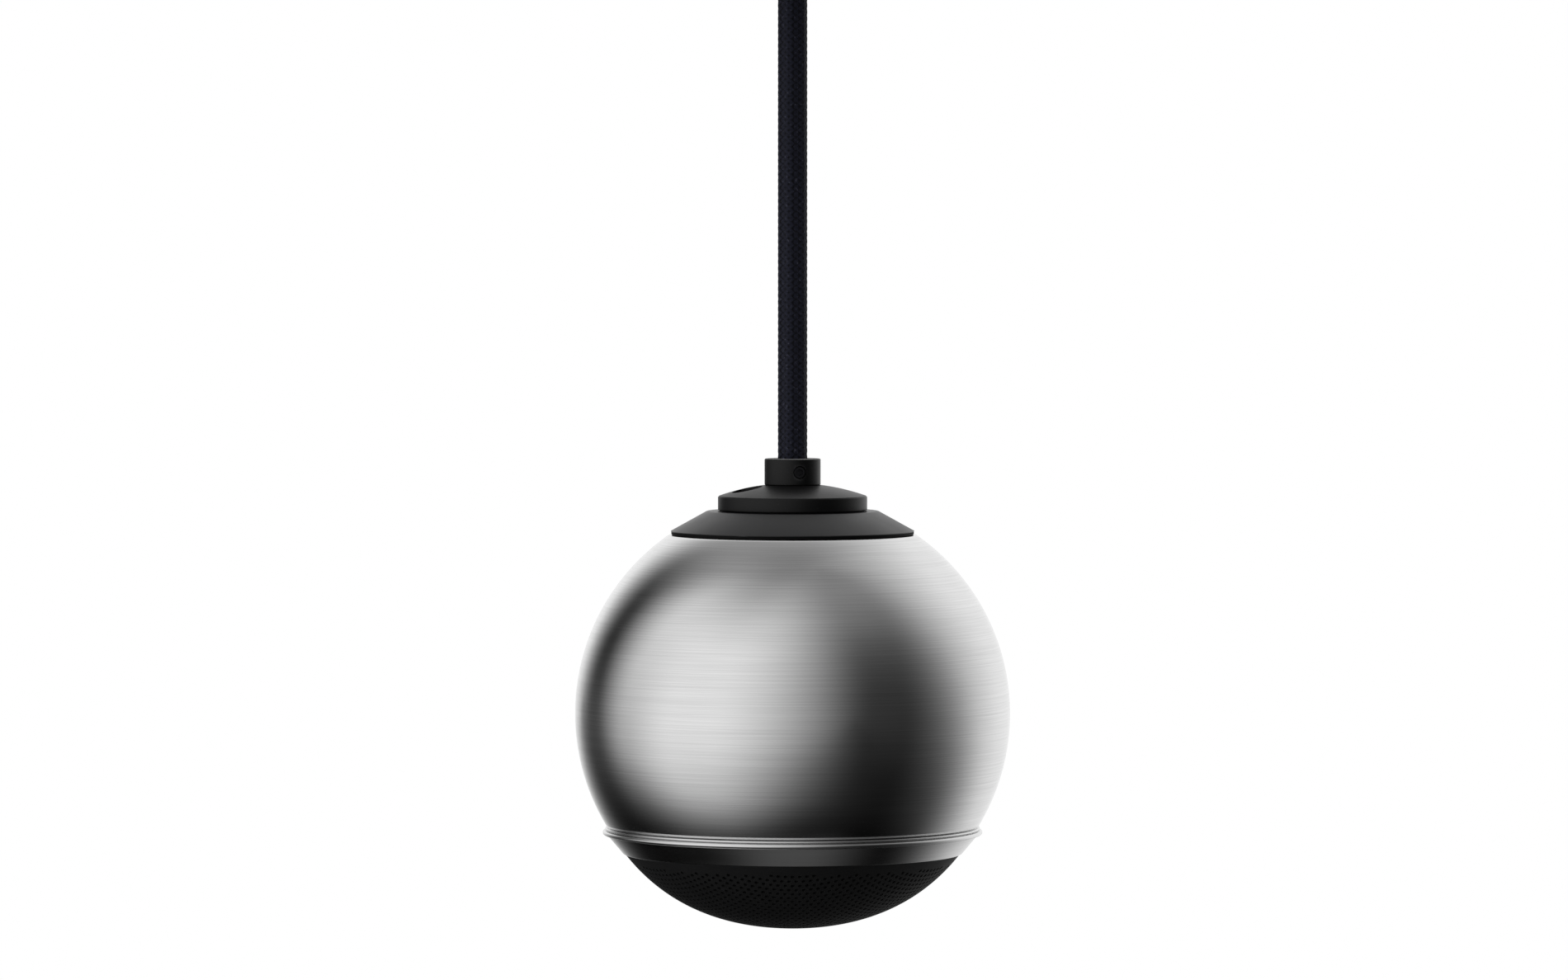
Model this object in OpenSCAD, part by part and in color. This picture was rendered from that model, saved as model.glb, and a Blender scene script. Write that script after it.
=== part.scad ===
// Pendant loudspeaker: a brushed steel ball on a braided cord, with a full-range driver
// behind a domed grille that faces the floor. Millimetres. The origin is the centre of
// the ceiling bracket's top face, +Z is up, and the ball's fixed front is -Y.

/* [Ball] */
// Outer diameter of the ball
ball_d = 100; // [99:0.5:112]
// Wall of the spun shell
shell_wall = 1.2; // [0.8:0.1:1.5]
// Depth of the shell's lower edge under the ball's centre
edge_depth = 25.9; // [25.4:0.1:26.4]
// Height of the thickened lip inside the lower edge
lip_h = 1.6; // [1:0.1:2.4]
// From the ceiling down to the top of the collar on the cap
drop = 146.34; // [144:0.02:148]

/* [Bezel ring] */
// How far the ring's main bead stands proud of the ball
bead_proud = 0.9; // [0.4:0.1:1.5]
// Wall of the ring between the shell's edge and the driver
ring_wall = 5.57; // [5:0.01:6.5]
// Thickness of the ledge that carries the driver
ledge_t = 2; // [1.5:0.1:3]
// Depth of the ring under the shell's edge
ring_h = 6.3; // [6:0.1:7]
// Height of the threaded spigot inside the shell
spigot_h = 5; // [3:0.5:8]

/* [Grille] */
// Depth of the grille's dome under the ring
grille_drop = 17.2; // [15:0.1:19]
// Slope of the dome where it leaves the ring
grille_edge_slope = 52; // [48:1:60]
// Thickness of the grille's sheet
grille_t = 0.8; // [0.5:0.1:1.2]
// Thickness of the acoustic cloth behind it
cloth_t = 0.3; // [0.2:0.1:0.8]

/* [Top flange] */
// Diameter of the flange's lip
flange_d = 56; // [52:0.5:60]
// Height of the lip under the cone
flange_lip_h = 0.9; // [0.5:0.1:2]
// Height of the cone
flange_cone_h = 4.6; // [3.5:0.1:6]
// Diameter of the cone at its top
flange_top_d = 39.4; // [37:0.1:44]
// Diameter of the opening in the shell's top
top_hole_d = 40; // [30:0.5:44]

/* [Neck cap] */
// Diameter of the cap
cap_d = 34.3; // [32:0.1:37]
// Height of the cap's straight band
cap_band_h = 3.2; // [2.5:0.1:5]
// Shadow gap between cap and flange
cap_gap = 0.2; // [0.1:0.05:0.5]
// Spherical radius of the cap's domed top
cap_dome_r = 51; // [45:1:80]
// Diameter of the round hole in the dome
side_hole_d = 6.2; // [4:0.1:7]
// Distance of that hole from the axis
side_hole_r = 10.9; // [10.5:0.1:12]

/* [Cord and collars] */
// Diameter of the braided cord
cord_d = 6.8; // [6:0.1:7]
// Diameter of the collar on the cap
collar_d = 12.9; // [12.5:0.1:15]
// Height of the collar on the cap
collar_h = 6.1; // [6:0.1:8]
// Diameter of the radial grub screws
grub_d = 3; // [2:0.5:3]
// Outer diameter of the hollow threaded nipple
nipple_d = 10; // [9.5:0.1:10.5]

/* [Driver] */
// Clearance round the driver's flange in the ring
driver_clear = 0.4; // [0.2:0.05:0.6]
// Sheet of the pressed basket
basket_t = 1; // [0.8:0.1:1.2]
// Depth of the basket behind its flange
basket_h = 19.2; // [18:0.1:22]
// Diameter of the magnet ring
magnet_d = 46; // [40:0.5:50]
// Thickness of the magnet ring
magnet_h = 9; // [6:0.5:12]
// Thickness of the front and back plates
plate_t = 3; // [2:0.5:4]
// Height of the cone, from its rim to its neck
cone_h = 11.2; // [10:0.1:12]
// From the driver's outer edge in to the middle of the surround's half roll
roll_inset = 7.5; // [7.2:0.1:8]
// Outer radius of the roll's section
roll_r = 2; // [1.5:0.1:2.2]
// Outer radius of the voice coil former
former_r = 9.15; // [8.8:0.05:9.4]
// Number of windows in the basket
basket_windows = 6; // [4:1:8]

/* [Ceiling fitting] */
// Diameter of the ceiling cup
cup_d = 80; // [76:1:92]
// Height of the ceiling cup
cup_h = 28; // [24:1:32]
// Wall of the ceiling cup
cup_wall = 1.2; // [0.8:0.1:1.6]
// Width of the ceiling bracket
bracket_w = 16; // [12:1:20]
// Sheet of the ceiling bracket
bracket_t = 1.5; // [1.2:0.1:2.5]
// Spacing of the two ceiling screw holes
screw_spacing = 50; // [46:1:54]
// Diameter of the ceiling screw holes
screw_hole_d = 4.5; // [3.5:0.1:5.5]

/* [Hidden] */
$fn = 96;

// Clearances that the fits share
play = 0.2;
thread_play = 0.05;
rest_gap = 0.3;
glue_line = 0.03;
cut = 1;

// Ball, with every height measured from the ball's centre
ball_r = ball_d / 2;
shell_in_r = ball_r - shell_wall;
edge_z = -edge_depth;
edge_r = sqrt(ball_r * ball_r - edge_depth * edge_depth);
lip_wall = 2.2;
lip_in_r = edge_r - lip_wall;
land_reveal = 0.45;
land_r = flange_d / 2 + land_reveal;
land_z = sqrt(ball_r * ball_r - land_r * land_r);

// Bezel ring
ring_floor_z = edge_z - ring_h;
bead_r = 0.5;
bead_z = edge_z - 1.15;
bead_mid_r = edge_r + bead_proud - bead_r;
fine_bead_r = 0.24;
fine_bead_z = edge_z - 0.42;
band_top_z = edge_z - 2.4;
band_foot_wall = 0.3;
spigot_r = lip_in_r - thread_play;
spigot_wall = 1.3;
opening_r = edge_r - ring_wall;
driver_r = opening_r - driver_clear;
ledge_z = edge_z + 1;
ledge_under_z = ledge_z - ledge_t;
ledge_inset = 3.9;
ledge_in_r = driver_r - ledge_inset;
grille_seat_h = 1.2;

// Grille: the dome's edge sits against a step in the ring's lower inside edge
grille_edge_r = opening_r + 1.4;
grille_edge_z = ring_floor_z;
grille_floor_z = grille_edge_z - grille_drop;
grille_bend_r = grille_edge_r - grille_drop / tan(grille_edge_slope);
cloth_gap = 0.05;
cloth_depth = grille_t + cloth_gap;
rim_h = 1;
rim_in_r = grille_edge_r - grille_t;
dome_steps = 20;
cloth_steps = dome_steps - 1;

// Top fittings, stacked up from the flat land on the shell
flange_r = flange_d / 2;
flange_z = land_z + flange_lip_h + flange_cone_h;
cap_r = cap_d / 2;
cap_z = flange_z + cap_gap;
cap_band_z = cap_z + cap_band_h;
cap_boss_r = cap_r - 3;
collar_r = collar_d / 2;
collar_seat_r = collar_r + 0.15;
dome_mid_z = cap_band_z - sqrt(cap_dome_r * cap_dome_r - cap_r * cap_r);
collar_z = dome_mid_z + sqrt(cap_dome_r * cap_dome_r - collar_seat_r * collar_seat_r);
ball_z = -drop - collar_z - collar_h;
side_hole_angle = 197;
nipple_r = nipple_d / 2;
cord_bore_r = cord_d / 2 + play;
nipple_engage = 1.4;
nipple_top_z = collar_z + nipple_engage;
clamp_t = 2;
clamp_top_z = land_z - shell_wall;
clamp_inset = 3.07;
clamp_r = sqrt(shell_in_r * shell_in_r - clamp_top_z * clamp_top_z) - clamp_inset;
clamp_z = clamp_top_z - clamp_t;
nut_t = 3.5;
nut_flats = 14;
nut_z = clamp_z - nut_t;
nipple_z = nut_z - 1;
grub_z = collar_z + 3.1;
grub_angle = -75;
grub_len = collar_r - cord_d / 2 - 0.3;
chamfer = 0.4;

// Cord: the tube hangs straight from the ceiling grip into the collar on the cap
cord_points = [
    [0, 0, -150], [0, 0, -141], [0, 0, -132], [0, 0, -123], [0, 0, -114], [0, 0, -105],
    [0, 0, -96], [0, 0, -87], [0, 0, -78], [0, 0, -69], [0, 0, -60], [0, 0, -51],
    [0, 0, -42], [0, 0, -33], [0, 0, -24], [0, 0, -15]
];
cord_sides = 12;
cord_low_z = cord_points[0][2];
cord_top_z = cord_points[len(cord_points) - 1][2];
stop_h = 4.5;
stop_r = 5.6;
sheath_tail = 1.8;
inner_end_z = nipple_z - stop_h - sheath_tail;

// Driver: heights follow the basket's flange, which hangs under the ring's ledge
gasket_t = 0.8;
flange_top_z = ledge_under_z - gasket_t;
flange_low_z = flange_top_z - basket_t;
screw_inset = 2;
screw_circle_r = driver_r - screw_inset;
driver_screw_r = 1.3;
driver_screw_head_r = 1.75;
driver_screw_head_t = 1.3;
driver_screw_count = 4;
screw_start_angle = 45;
mouth_inset = 4.8;
basket_mouth_r = driver_r - mouth_inset;
shoulder_out_r = 21.5;
shoulder_h = 13.7;
shoulder_z = flange_low_z + shoulder_h;
basket_neck_r = 17;
basket_top_z = flange_low_z + basket_h + basket_t;
coil_gap = 0.4;
coil_t = 0.4;
former_t = 0.15;
former_in_r = former_r - former_t;
coil_r = former_r + coil_t;
gap_r = coil_r + coil_gap;
pole_r = former_in_r - coil_gap;
front_plate_r = magnet_d / 2 - 2;
front_plate_z = basket_top_z;
magnet_z = front_plate_z + plate_t;
back_plate_z = magnet_z + magnet_h;
back_plate_top_z = back_plate_z + plate_t;
magnet_in_r = gap_r + 1.6;

// Moving assembly of the driver
paper_t = 0.5;
cone_land = 1.3;
roll_mean_r = driver_r - roll_inset;
cone_rim_r = roll_mean_r - roll_r;
cone_z = flange_low_z;
neck_z = flange_low_z + cone_h;
former_low_z = neck_z - 0.4;
coil_h = 5.5;
coil_z = front_plate_z + plate_t / 2 - coil_h / 2;
former_top_z = coil_z + coil_h + 0.6;
surround_t = 0.6;
surround_inset = 3.8;
surround_land_r = driver_r - surround_inset;
spider_t = 0.35;
spider_wave = 0.7;
spider_rings = 5;
spider_r = 20.2;
spider_z = shoulder_z - basket_t;
spider_steps = 40;
dust_r = 10.6;
dust_wall = 0.4;
dust_crown = 4;

// Wiring inside the ball
board_t = 1.2;
board_w = 14;
board_x = shoulder_out_r + 3.1;
tinsel_r = 0.35;
tinsel_start_x = board_x - 0.6;
tinsel_fall = 8.2;
tinsel_cone_r = former_r + (neck_z - shoulder_z + tinsel_fall) / cone_h * (cone_rim_r - cone_land - former_r);
tinsel_end_x = tinsel_cone_r + 2.7;
tinsel_route = [
    [tinsel_start_x, rest_gap], [tinsel_start_x, 3], [(2 * tinsel_start_x + tinsel_end_x) / 3, 5.5],
    [tinsel_end_x, tinsel_fall]
];
tab_w = 3;
tab_t = 0.8;
tab_side = 3.5;
tab_out = 5;
lead_r = 0.9;
wadding_low_z = back_plate_top_z + 4.5;
wadding_h = 15;
wadding_hole_r = 9.5;
wadding_r = shell_in_r - rest_gap;
lead_clear_z = back_plate_top_z + lead_r + 0.8;
lead_drop_x = board_x + 2.8;
lead_fall = inner_end_z - lead_clear_z;
lead_route = [
    [0, 1.1, inner_end_z], [0, 1.1, inner_end_z - lead_fall / 5], [0.7, 1.5, lead_clear_z + lead_fall / 3],
    [2.6, 1.9, lead_clear_z + 2.2], [6, 2.2, lead_clear_z + 0.7], [12, tab_side - 0.5, lead_clear_z + 0.2],
    [lead_drop_x - 7.4, tab_side - 0.1, lead_clear_z], [lead_drop_x - 2.4, tab_side, lead_clear_z - 1.8],
    [lead_drop_x - 0.2, tab_side, lead_clear_z - 7.2], [lead_drop_x, tab_side, lead_clear_z - 14.2],
    [lead_drop_x, tab_side, shoulder_z + board_t / 2 + tab_t + rest_gap]
];

// Ceiling fitting, measured from the ceiling at zero
cup_r = cup_d / 2;
cup_in_r = cup_r - cup_wall;
cup_floor_z = -cup_h + cup_wall;
cup_edge_r = 3;
bush_h = 6;
bush_z = -cup_h - bush_h;
neck_h = 7;
neck_top_z = -cup_h + neck_h;
grip_nut_t = 3;
ceiling_grub_z = bush_z + bush_h / 2;
ear_x = sqrt(cup_in_r * cup_in_r - bracket_w * bracket_w / 4) - 0.35;
ear_h = 9;
ear_hole_z = -5.5;
cup_screw_r = 1.9;
cup_screw_hole_r = 2.2;
cup_screw_head_r = 3.6;
cup_screw_head_t = 2;
cup_screw_len = cup_r - ear_x + bracket_t + 1.5;
block_l = 14;
block_w = 13;
block_h = 10.5;
block_x = 6;
block_pitch = 6;
block_bore_r = 1.5;
block_screw_head_r = 1.7;
core_route = [
    [0, 1.2, cord_top_z], [0, 1.2, -13.4], [0.7, 1.6, -10.8], [2.3, 2.5, -8.4], [4, 2.9, -7.2],
    [5.4, 3, -6.8], [7.6, 3, -6.8]
];
core_r = 0.8;

// Points of a circular arc, in order from one angle to the other
function arc(x, y, r, from, to, steps) =
    [for (i = [0:steps]) let (a = from + (to - from) * i / steps) [x + r * cos(a), y + r * sin(a)]];

// Unit vector along the route at one of its points
function heading(points, i) =
    let (last = len(points) - 1, d = points[min(i + 1, last)] - points[max(i - 1, 0)]) d / norm(d);

// A ring of corners round one point of a route
function ring_at(points, i, r, sides) =
    let (
        t = heading(points, i),
        u = cross([0, 1, 0], t) / norm(cross([0, 1, 0], t)),
        v = cross(t, u)
    )
    [for (k = [0:sides - 1]) points[i] + r * (cos(360 * k / sides) * u + sin(360 * k / sides) * v)];

// Tube of one radius swept along a list of points
module tube_along(points, r, sides) {
    rings = len(points);
    corners = [for (i = [0:rings - 1]) each ring_at(points, i, r, sides)];
    walls = [for (i = [0:rings - 2]) for (k = [0:sides - 1])
        let (n = (k + 1) % sides)
        [i * sides + k, (i + 1) * sides + k, (i + 1) * sides + n, i * sides + n]];
    first_end = [for (k = [0:sides - 1]) k];
    last_end = [for (k = [sides - 1:-1:0]) (rings - 1) * sides + k];
    polyhedron(points = corners, faces = concat([first_end], walls, [last_end]));
}

// Places what is measured from the ball's centre
module at_ball() {
    translate([0, 0, ball_z]) children();
}

// Plain tube standing on a height
module tube(outer, inner, low, height) {
    translate([0, 0, low]) difference() {
        cylinder(r = outer, h = height);
        translate([0, 0, -cut]) cylinder(r = inner, h = height + 2 * cut);
    }
}

// Everything inside a sphere and between two heights
module ball_slice(radius, low, high) {
    intersection() {
        sphere(r = radius);
        translate([-radius, -radius, low]) cube([2 * radius, 2 * radius, high - low]);
    }
}

// Hexagon nut with a round hole
module hex_nut(flats, hole_r, low, height) {
    translate([0, 0, low]) difference() {
        cylinder(r = flats / 2 / cos(30), h = height, $fn = 6);
        translate([0, 0, -cut]) cylinder(r = hole_r, h = height + 2 * cut);
    }
}

// Radial grub screw with a hexagon socket, its outer end on the given radius
module grub_screw(angle, height, outer_r, length) {
    rotate([0, 0, angle]) translate([outer_r - length, 0, height]) rotate([0, 90, 0]) difference() {
        cylinder(r = grub_d / 2 - thread_play, h = length);
        translate([0, 0, length - 1.2]) cylinder(r = 0.85, h = 1.2 + cut, $fn = 6);
    }
}

// Collar that grips the cord, bored for it and threaded below for the nipple
module grip_collar(low, height, bore_from, grub_height, angle, thread_r) {
    difference() {
        translate([0, 0, low]) rotate_extrude() polygon([
            [0, 0], [collar_r - chamfer, 0], [collar_r, chamfer],
            [collar_r, height - chamfer], [collar_r - chamfer, height], [0, height]
        ]);
        translate([0, 0, low - cut]) cylinder(r = cord_bore_r, h = height + 2 * cut);
        if (thread_r > 0)
            translate([0, 0, low - cut]) cylinder(r = thread_r, h = bore_from - low + cut);
        rotate([0, 0, angle]) translate([0, 0, grub_height]) rotate([0, 90, 0])
            cylinder(r = grub_d / 2, h = collar_r + cut);
    }
}

// Crimped stop ring on the end of the cord's sheath
module cord_stop(low) {
    translate([0, 0, low]) rotate_extrude() polygon([
        [cord_d / 2 + thread_play, 0], [stop_r - chamfer, 0], [stop_r, chamfer],
        [stop_r, stop_h - chamfer], [stop_r - chamfer, stop_h], [cord_d / 2 + thread_play, stop_h]
    ]);
}

// Spun steel shell with a flat land on top and a thickened lip at its lower edge
module ball_shell() {
    color("silver") at_ball() difference() {
        union() {
            difference() {
                ball_slice(ball_r, edge_z, land_z);
                sphere(r = shell_in_r);
            }
            ball_slice(ball_r, land_z - shell_wall, land_z);
            difference() {
                ball_slice(ball_r, edge_z, edge_z + lip_h);
                translate([0, 0, edge_z - cut]) cylinder(r = lip_in_r, h = lip_h + 2 * cut);
            }
        }
        translate([0, 0, land_z - shell_wall - cut]) cylinder(r = top_hole_d / 2, h = shell_wall + 2 * cut);
    }
}

// Section of the turned ring: spigot, ledge, beads on the rim and the conical band
module bezel_section() {
    polygon(concat(
        [[spigot_r - spigot_wall, edge_z + spigot_h], [spigot_r - spigot_wall, ledge_z],
         [ledge_in_r, ledge_z], [ledge_in_r, ledge_under_z], [opening_r, ledge_under_z],
         [opening_r, ring_floor_z + grille_seat_h],
         [grille_edge_r + play, ring_floor_z + grille_seat_h], [grille_edge_r + play, ring_floor_z]],
        [[grille_edge_r + play + band_foot_wall, ring_floor_z], [edge_r - 0.4, band_top_z],
         [edge_r - 0.5, band_top_z + 0.15]],
        arc(bead_mid_r, bead_z, bead_r, -80, 110, 8),
        [[edge_r - 0.1, edge_z - 0.66]],
        arc(edge_r + 0.15, fine_bead_z, fine_bead_r, -60, 90, 5),
        [[edge_r - 0.4, edge_z - 0.25], [edge_r - 0.6, edge_z],
         [spigot_r, edge_z], [spigot_r, edge_z + spigot_h]]
    ));
}

// Turned steel ring that closes the ball and carries the driver
module bezel_ring() {
    color("silver") at_ball() difference() {
        rotate_extrude() bezel_section();
        for (i = [0:driver_screw_count - 1])
            rotate([0, 0, screw_start_angle + 360 * i / driver_screw_count])
                translate([screw_circle_r, 0, ledge_under_z - cut])
                    cylinder(r = driver_screw_r + thread_play, h = ledge_t + 2 * cut);
    }
}

// Point of the dome's curve, t from 0 on the axis to 1 at the ring, some depth inside its face
function dome_point(t, depth) =
    let (
        low = [0, grille_floor_z], bend = [grille_bend_r, grille_floor_z], edge = [grille_edge_r, grille_edge_z],
        ahead = (1 - t) * (bend - low) + t * (edge - bend),
        inwards = [-ahead[1], ahead[0]] / norm(ahead)
    ) (1 - t) * (1 - t) * low + 2 * t * (1 - t) * bend + t * t * edge + depth * inwards;

// Sheet that follows the dome for some steps, between two depths inside its face
function dome_sheet(outer, inner, steps) = concat(
    [for (i = [steps:-1:0]) dome_point(i / dome_steps, outer)],
    [for (i = [0:steps]) dome_point(i / dome_steps, inner)]
);

// Domed grille with a short upright rim that snaps into the ring
module grille_dome() {
    color("#161616") at_ball() rotate_extrude() polygon(concat(
        [[grille_edge_r, grille_edge_z + rim_h]],
        dome_sheet(0, grille_t, dome_steps),
        [[rim_in_r, grille_edge_z + rim_h]]
    ));
}

// Black acoustic cloth laid inside the grille
module grille_cloth() {
    color("#101010") at_ball() rotate_extrude() polygon(dome_sheet(cloth_depth, cloth_depth + cloth_t, cloth_steps));
}

// Conical flange that seats on the shell's land, with a spigot down its opening
module flange_cone() {
    color("#2a2a2c") at_ball() difference() {
        rotate_extrude() polygon([
            [0, land_z], [0, flange_z], [flange_top_d / 2, flange_z],
            [flange_r - 0.25, land_z + flange_lip_h], [flange_r, land_z + flange_lip_h - 0.25],
            [flange_r, land_z], [top_hole_d / 2 - play, land_z],
            [top_hole_d / 2 - play, land_z - shell_wall + play], [0, land_z - shell_wall + play]
        ]);
        translate([0, 0, land_z - 2 * shell_wall]) cylinder(r = nipple_r + play, h = flange_z);
    }
}

// Domed cap over the flange, with the round hole through its top
module neck_cap() {
    color("#242426") at_ball() difference() {
        rotate_extrude() polygon(concat(
            [[0, flange_z], [cap_boss_r, flange_z], [cap_boss_r, cap_z], [cap_r - play, cap_z],
             [cap_r, cap_z + play]],
            arc(0, dome_mid_z, cap_dome_r, acos(cap_r / cap_dome_r), acos(collar_seat_r / cap_dome_r), 6),
            [[0, collar_z]]
        ));
        translate([0, 0, flange_z - cut]) cylinder(r = nipple_r + play, h = collar_z);
        rotate([0, 0, side_hole_angle]) translate([side_hole_r, 0, flange_z - cut])
            cylinder(r = side_hole_d / 2, h = collar_z);
    }
}

// Collar on the cap that the cord enters
module cord_collar() {
    color("#1f1f21") at_ball() grip_collar(collar_z, collar_h, nipple_top_z + 0.1, grub_z,
        grub_angle, nipple_r + thread_play);
}

// Grub screw that pinches the cord in its collar
module collar_grub_screw() {
    color("#3a3a3c") at_ball() grub_screw(grub_angle, grub_z, collar_r - 0.2, grub_len);
}

// Hollow threaded nipple that ties collar, cap, flange and shell together
module hollow_nipple() {
    color("goldenrod") at_ball() tube(nipple_r, cord_bore_r, nipple_z, nipple_top_z - nipple_z);
}

// Plate under the shell's land
module clamp_plate() {
    color("gainsboro") at_ball() tube(clamp_r, nipple_r + thread_play, clamp_z, clamp_t);
}

// Nut that pulls the clamp plate up against the shell
module lock_nut() {
    color("goldenrod") at_ball() hex_nut(nut_flats, nipple_r + thread_play, nut_z, nut_t);
}

// Length of the cord that runs on inside the collar and the nipple
module cord_inner_end() {
    color("#23262c") translate([0, 0, inner_end_z + ball_z])
        cylinder(r = cord_d / 2, h = cord_low_z - inner_end_z - ball_z);
}

// Stop that keeps the cord from pulling out of the ball
module inner_cord_stop() {
    color("gainsboro") at_ball() cord_stop(nipple_z - stop_h);
}

// Section of the pressed basket, from its flange to the seat of the front plate
module basket_section() {
    polygon([
        [driver_r, flange_low_z], [driver_r, flange_top_z], [basket_mouth_r + 0.8, flange_top_z],
        [shoulder_out_r, shoulder_z], [basket_neck_r, shoulder_z], [basket_neck_r, basket_top_z],
        [gap_r + 1, basket_top_z], [gap_r + 1, basket_top_z - basket_t],
        [basket_neck_r - basket_t, basket_top_z - basket_t],
        [basket_neck_r - basket_t, shoulder_z - basket_t],
        [shoulder_out_r - 0.4, shoulder_z - basket_t], [basket_mouth_r - 0.5, flange_low_z]
    ]);
}

// Pressed steel basket with windows between its spokes
module driver_basket() {
    window_angle = 360 / basket_windows;
    spoke_w = 5;
    color("#3c3d40") at_ball() difference() {
        rotate_extrude() basket_section();
        intersection() {
            tube(basket_mouth_r + 2, basket_neck_r + 1, flange_top_z + 0.8, shoulder_z - flange_top_z - 2.4);
            difference() {
                translate([0, 0, flange_top_z]) cylinder(r = basket_mouth_r + 3, h = basket_h);
                for (i = [0:basket_windows - 1])
                    rotate([0, 0, window_angle * i]) translate([0, -spoke_w / 2, flange_top_z - cut])
                        cube([basket_mouth_r + 4, spoke_w, basket_h + 2 * cut]);
            }
        }
        for (i = [0:driver_screw_count - 1])
            rotate([0, 0, screw_start_angle + 360 * i / driver_screw_count])
                translate([screw_circle_r, 0, flange_low_z - cut])
                    cylinder(r = driver_screw_r + play, h = basket_t + 2 * cut);
    }
}

// Foam gasket between the driver and the ring's ledge
module driver_gasket() {
    color("#303030") at_ball() difference() {
        tube(driver_r - play, ledge_in_r + play, flange_top_z, gasket_t);
        for (i = [0:driver_screw_count - 1])
            rotate([0, 0, screw_start_angle + 360 * i / driver_screw_count])
                translate([screw_circle_r, 0, flange_top_z - cut])
                    cylinder(r = driver_screw_r + play, h = gasket_t + 2 * cut);
    }
}

// Pan head screws that hold the driver up against the ledge
module driver_screws() {
    shank = flange_top_z - flange_low_z + gasket_t + ledge_t;
    color("#4a4a4c") at_ball() for (i = [0:driver_screw_count - 1])
        rotate([0, 0, screw_start_angle + 360 * i / driver_screw_count])
            translate([screw_circle_r, 0, flange_low_z]) difference() {
                union() {
                    cylinder(r = driver_screw_r, h = shank);
                    translate([0, 0, -driver_screw_head_t])
                        cylinder(r = driver_screw_head_r, h = driver_screw_head_t);
                }
                translate([0, 0, -driver_screw_head_t - cut]) cylinder(r = 0.9, h = cut + 0.8, $fn = 6);
            }
}

// Front plate of the magnet system
module front_plate() {
    color("lightsteelblue") at_ball() tube(front_plate_r, gap_r, front_plate_z, plate_t);
}

// Ferrite ring
module magnet_ring() {
    color("#2d2b2b") at_ball() tube(magnet_d / 2, magnet_in_r, magnet_z, magnet_h);
}

// Back plate and pole in one turned piece
module back_plate() {
    color("lightsteelblue") at_ball() union() {
        translate([0, 0, back_plate_z]) cylinder(r = front_plate_r, h = plate_t);
        translate([0, 0, front_plate_z]) cylinder(r = pole_r, h = back_plate_top_z - front_plate_z);
    }
}

// Thin tube that carries the coil
module voice_coil_former() {
    color("tan") at_ball() tube(former_r, former_in_r, former_low_z, former_top_z - former_low_z);
}

// Copper winding in the magnet's gap
module voice_coil() {
    color("#b8682e") at_ball() tube(coil_r, former_r + glue_line, coil_z, coil_h);
}

// Corrugated suspension between the former and the basket's shoulder
module spider() {
    inner_r = former_r + glue_line;
    span = spider_r - inner_r;
    flat = 2.4;
    lower = [for (i = [0:spider_steps]) let (
        r = inner_r + span * i / spider_steps,
        wave = r > spider_r - flat ? 0 : spider_wave * sin(360 * spider_rings * (spider_r - flat - r) / span))
        [r, spider_z - spider_wave - spider_t + (r > spider_r - flat ? spider_wave : 0) + wave / 2]];
    upper = [for (i = [spider_steps:-1:0]) [lower[i][0], lower[i][1] + spider_t]];
    color("burlywood") at_ball() rotate_extrude() polygon(concat(lower, upper));
}

// Paper cone with a narrow land for the surround
module cone() {
    inner_r = former_r + glue_line;
    color("#26262a") at_ball() rotate_extrude() polygon([
        [inner_r, neck_z], [inner_r, neck_z - 0.9], [former_r + 0.6, neck_z - 0.9],
        [cone_rim_r - cone_land, cone_z], [cone_rim_r, cone_z], [cone_rim_r, cone_z + paper_t],
        [cone_rim_r - cone_land + 0.15, cone_z + paper_t], [former_r + 0.6, neck_z]
    ]);
}

// Rubber half roll between the cone and the basket's flange
module surround() {
    roll_in = roll_r - surround_t;
    low = flange_low_z - surround_t;
    color("#1c1c1c") at_ball() rotate_extrude() polygon(concat(
        [[surround_land_r, flange_low_z], [surround_land_r, low]],
        arc(roll_mean_r, low, roll_r, 0, -180, 12),
        [[cone_rim_r - cone_land, low], [cone_rim_r - cone_land, flange_low_z],
         [roll_mean_r - roll_in, flange_low_z]],
        arc(roll_mean_r, low, roll_in, -180, 0, 12),
        [[roll_mean_r + roll_in, flange_low_z]]
    ));
}

// Domed cap over the former's lower end, glued on the cone
module dust_cap() {
    rim_z = neck_z - 0.9 - (dust_r - former_r - 0.6) * (neck_z - 0.9 - cone_z)
        / (cone_rim_r - cone_land - former_r - 0.6) - 0.35;
    sphere_r = (dust_r * dust_r + dust_crown * dust_crown) / (2 * dust_crown);
    color("#1a1a1c") at_ball() intersection() {
        translate([0, 0, rim_z + sphere_r - dust_crown]) difference() {
            sphere(r = sphere_r);
            sphere(r = sphere_r - dust_wall);
        }
        translate([0, 0, rim_z - dust_crown - cut]) cylinder(r = dust_r, h = dust_crown + cut);
    }
}

// Insulating board with two tabs, on the side of the basket's neck
module terminal_board() {
    color("#5b3a22") at_ball() union() {
        translate([basket_neck_r, -board_w / 2, shoulder_z])
            cube([board_x - basket_neck_r, board_w, board_t]);
        for (side = [-1, 1])
            translate([board_x - 1.5, side * tab_side - tab_w / 2, shoulder_z + board_t / 2])
                cube([1.5 + tab_out, tab_w, tab_t]);
    }
}

// Flexible braids between the board and the cone
module tinsel_leads() {
    color("#b87333") at_ball() for (side = [-1, 1])
        tube_along([for (p = tinsel_route) [p[0], side * tab_side, shoulder_z - p[1]]], tinsel_r, 8);
}

// One insulated lead from the cord's end to a tab
module driver_lead(side) {
    at_ball() tube_along([for (p = lead_route) [p[0], side * p[1], p[2]]], lead_r, 8);
}

// Lead to the positive tab
module lead_positive() {
    color("firebrick") driver_lead(1);
}

// Lead to the negative tab
module lead_negative() {
    color("#202020") driver_lead(-1);
}

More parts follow.
